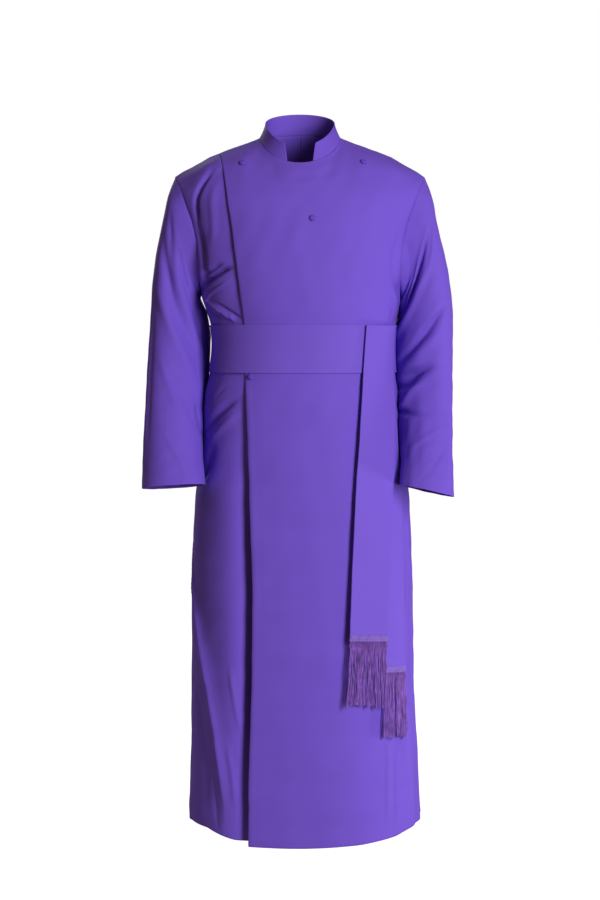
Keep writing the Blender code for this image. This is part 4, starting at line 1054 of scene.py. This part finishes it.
# the ribbed heading sewn along the end of a fall, which holds the fringe
def makeHeading(name, node, fall):
    across = np.linspace(0, 1, heading["columns"] + 1)[None, :]
    share = np.linspace(0, 1, heading["rows"] + 1)[:, None]
    level = fall["end"] - heading["gap"] - heading["height"] * (1 - share)
    ribs = heading["ribHeight"] * np.abs(np.sin(np.pi * heading["ribs"] * share))
    offset = 1.5 * np.floor(share * heading["ribs"])
    ribs = ribs + heading["cordHeight"] * np.cos(2 * np.pi * fall["strands"] * across + offset)
    extra = (heading["thickness"] - falls["cloth"]) / 2
    grid = fallPoints(fall, across, level, -extra - ribs)
    made = clothShell(name, grid, gridNormals(grid), heading["thickness"] + 2 * ribs, headingYarn)
    declare(made, node, "fringe_yarn")


makeFall("frontFall", "cincture_fall_front", falls["front"], flat=(0.087, 0.62), area=0.049)
makeFall("rearFall", "cincture_fall_rear", falls["rear"], flat=(0.056, 0.69), area=0.037)
makeHeading("frontHeading", "fringe_front", falls["front"])
makeHeading("rearHeading", "fringe_rear", falls["rear"])
print("cincture band, falls and headings made")


# fringe: pairs of strands joined in a loop at the end, each one twisted from two plies

fringe = dict(
    length=0.136, shortest=0.93, tuck=0.002, lean=0.0022, crossing=0.014, weave=0.0008, jitter=0.0018,
    sway=0.0006, swayLength=0.011,
    pitch=0.0075, plyRadius=0.00072, plySpace=0.00066, step=0.0013, steps=96,
)


def twistTree():
    tree = Growth("twistedStrands", Step=0.001, Pitch=0.008, Space=0.0005, Radius=0.0005)
    lines = tree.node(
        "GeometryNodeResampleCurve", dict(mode="LENGTH"),
        {"Curve": Value(tree, tree.given.outputs["Geometry"]), "Length": tree.size("Step")},
    )
    length = tree.node("GeometryNodeSplineParameter", out=1)
    normal = tree.node("GeometryNodeInputNormal")
    tangent = tree.node("GeometryNodeInputTangent")
    side = tree.node("ShaderNodeVectorMath", dict(operation="CROSS_PRODUCT"), {0: tangent, 1: normal})
    circle = {"Resolution": 5, "Radius": tree.size("Radius")}
    profile = tree.node("GeometryNodeCurvePrimitiveCircle", None, circle)
    plies = []
    for phase in (0.0, math.pi):
        angle = length / tree.size("Pitch") * (2 * math.pi) + phase
        arms = []
        for direction, amount in ((normal, angle.cosine()), (side, angle.sine())):
            scaled = {0: direction, "Scale": amount * tree.size("Space")}
            arms.append(tree.node("ShaderNodeVectorMath", dict(operation="SCALE"), scaled))
        offset = tree.node("ShaderNodeVectorMath", dict(operation="ADD"), {0: arms[0], 1: arms[1]})
        moved = tree.node("GeometryNodeSetPosition", None, {"Geometry": lines, "Offset": offset})
        sockets = {"Curve": moved, "Profile Curve": profile, "Fill Caps": True}
        plies.append(tree.node("GeometryNodeCurveToMesh", None, sockets))
    tree.end(tree.node("GeometryNodeJoinGeometry", None, {"Geometry": plies}), fringeYarn)
    return tree


def strandPaths(fall):
    chance = random.Random(fall["seed"])
    count = fall["strands"]
    width = fall["width"][0]
    flare, plumb = fall["flare"]
    top = fall["end"] - heading["gap"] - heading["height"] + fringe["tuck"]
    drop = np.linspace(0, 1, fringe["steps"] + 1)[:, None]
    fallen = drop * fringe["length"]
    middle = ((np.arange(count) + 0.5) / count)[None, :]
    # neighbours lean together in small clumps
    leans, depths = [], []
    while len(leans) < count:
        together = chance.randint(2, 5)
        lean = chance.uniform(-1, 1)
        depth = chance.uniform(-1, 1)
        leans += [lean + chance.uniform(-0.25, 0.25) for _ in range(together)]
        depths += [depth + chance.uniform(-0.4, 0.4) for _ in range(together)]
    leans, depths = np.array(leans[:count])[None, :], np.array(depths[:count])[None, :]
    phase = np.array([chance.uniform(0, 2 * math.pi) for _ in range(count)])[None, :]
    turnedOut = flare * drop * (middle - plumb)
    cross = np.where(np.arange(count) % 2 == 0, 1.0, -1.0)[None, :] / count
    lattice = cross * np.sin(2 * np.pi * np.minimum(fallen / fringe["crossing"], 1.0))
    wave = fringe["sway"] * np.sin(fallen / fringe["swayLength"] + phase) * smoothStep(drop, 0.05, 0.4)
    across = middle + turnedOut + lattice + (leans * fringe["lean"] * drop**0.8 + wave) / width
    under = falls["cloth"] / 2 + depths * fringe["jitter"] * smoothStep(drop, 0.0, 0.3)
    woven = cross * count * np.sin(np.pi * np.minimum(fallen / fringe["crossing"], 1.0))
    under = under + fringe["weave"] * woven
    grid = fallPoints(fall, across, top - fallen, under)
    paths = []
    for pair in range(0, count, 2):
        reach = int(fringe["steps"] * chance.uniform(fringe["shortest"], 1.0))
        down, up = grid[:reach, pair], grid[: reach - chance.randint(0, 2), pair + 1]
        centre = (down[-1] + up[-1]) / 2
        arm = down[-1] - centre
        sag = np.array([0.0, 0.0, -np.linalg.norm(arm)])
        bend = [centre + arm * math.cos(t) + sag * math.sin(t) for t in (0.8, math.pi / 2, 2.34)]
        paths.append(np.concatenate([down, bend, up[::-1]]))
    return paths


twist = twistTree()
strandSizes = dict(
    Step=fringe["step"], Pitch=fringe["pitch"], Space=fringe["plySpace"], Radius=fringe["plyRadius"],
)
for name, node, fall in (("frontFringe", "fringe_front", "front"), ("rearFringe", "fringe_rear", "rear")):
    declare(twist.grown(name, strandPaths(falls[fall]), **strandSizes), node, "fringe_yarn")
print("fringe made")


# covered buttons: reach and rise of the dome as shares of the radius and height

buttons = dict(
    radius=0.0065, height=0.0042, gap=0.0004, sides=44, gathers=15, gather=0.010,
    dome=[
        (0.78, 0.0), (0.92, 0.04), (1.0, 0.14), (1.01, 0.26), (0.96, 0.48), (0.85, 0.68), (0.67, 0.85),
        (0.44, 0.96), (0.20, 1.0),
    ],
    places=[
        ("buttonRightShoulder", "button_right_shoulder", -0.1150, -0.0570),
        ("buttonLeftShoulder", "button_left_shoulder", 0.1270, -0.0550),
        ("buttonBreast", "button_breast", 0.0245, -0.1710),
        ("buttonWaist", "button_waist", -0.0975, -0.4835),
    ],
)


# the point of the over front at this x and height, and the normal there
def spotOnOver(x, z):
    away = (over.grid[..., 0] - x) ** 2 + (over.grid[..., 2] - z) ** 2
    row, column = np.unravel_index(np.argmin(away), away.shape)
    point, normal = over.grid[row, column].copy(), over.normals[row, column]
    point[1] -= (normal[0] * (x - point[0]) + normal[2] * (z - point[2])) / normal[1]
    point[0], point[2] = x, z
    return point, normal


def makeButton(name, node, x, z):
    point, normal = spotOnOver(x, z)
    side = unit(np.cross((0, 0, 1.0), normal))
    up = np.cross(normal, side)
    count = buttons["sides"]
    angle = 2 * np.pi * np.arange(count) / count
    spokes = np.cos(angle)[:, None] * side + np.sin(angle)[:, None] * up
    pleats = 1 + buttons["gather"] * np.cos(buttons["gathers"] * angle)[:, None]
    points, flat = [], []
    for reach, rise in buttons["dome"]:
        wide = reach * buttons["radius"] * (pleats if rise < 0.3 else 1.0)
        points.append(point + spokes * wide + normal * (buttons["gap"] + rise * buttons["height"]))
        flatReach = reach * buttons["radius"] * (1 + 0.6 * (1 - rise))
        flat.append(np.stack([np.cos(angle), np.sin(angle)], axis=1) * flatReach)
    number = np.arange(len(points) * count).reshape(-1, count)
    number = np.concatenate([number, number[:, :1]], axis=1)
    faces = cells(number).tolist() + [number[0, -2::-1].tolist(), number[-1, :-1].tolist()]
    spots = np.concatenate(flat)[np.concatenate([np.array(face) for face in faces])]
    made = gathered(name, np.concatenate(points), faces, spots, buttonCloth)
    declare(made, node, "button_cloth")


for place in buttons["places"]:
    makeButton(*place)
print("buttons made")


# pick stitches beside the edge of the over front

stitches = dict(
    inset=0.0090, first=-1.395, last=-0.490, pitch=0.0060, length=0.0017, radius=0.00022, sink=0.00004,
)


def stitchTree():
    tree = Growth("pickStitches", Pitch=0.006, Length=0.002, Radius=0.0002)
    lines = tree.node(
        "GeometryNodeCurveToPoints", dict(mode="LENGTH"),
        {"Curve": Value(tree, tree.given.outputs["Geometry"]), "Length": tree.size("Pitch")},
    )
    ball = {"Segments": 8, "Rings": 6, "Radius": tree.size("Radius")}
    bead = tree.node("GeometryNodeMeshUVSphere", None, ball)
    longer = tree.size("Length") / tree.size("Radius") / 2
    stretch = tree.node("ShaderNodeCombineXYZ", None, {0: 1.0, 1: 1.0, 2: longer})
    long = tree.node("GeometryNodeTransform", None, {"Geometry": bead, "Scale": stretch})
    sockets = {"Points": lines, "Instance": long, "Rotation": lines.other("Rotation")}
    tree.end(tree.node("GeometryNodeInstanceOnPoints", None, sockets), buttonCloth)
    return tree


def edgeLine(inset, first, last):
    rows = np.flatnonzero((levels > first) & (levels < last))
    line = []
    for row in rows:
        along = runLength(over.grid[row])
        spot = [np.interp(inset, along, over.grid[row, :, k]) for k in range(3)]
        line.append(np.array(spot) - over.normals[row, 2] * stitches["sink"])
    return np.array(line)


sewing = stitchTree()
stitchLine = edgeLine(stitches["inset"], stitches["first"], stitches["last"])
stitchSizes = dict(Pitch=stitches["pitch"], Length=stitches["length"], Radius=stitches["radius"])
declare(sewing.grown("edgeStitches", [stitchLine], **stitchSizes), "front_left", "cassock_cloth")
print("stitches made")
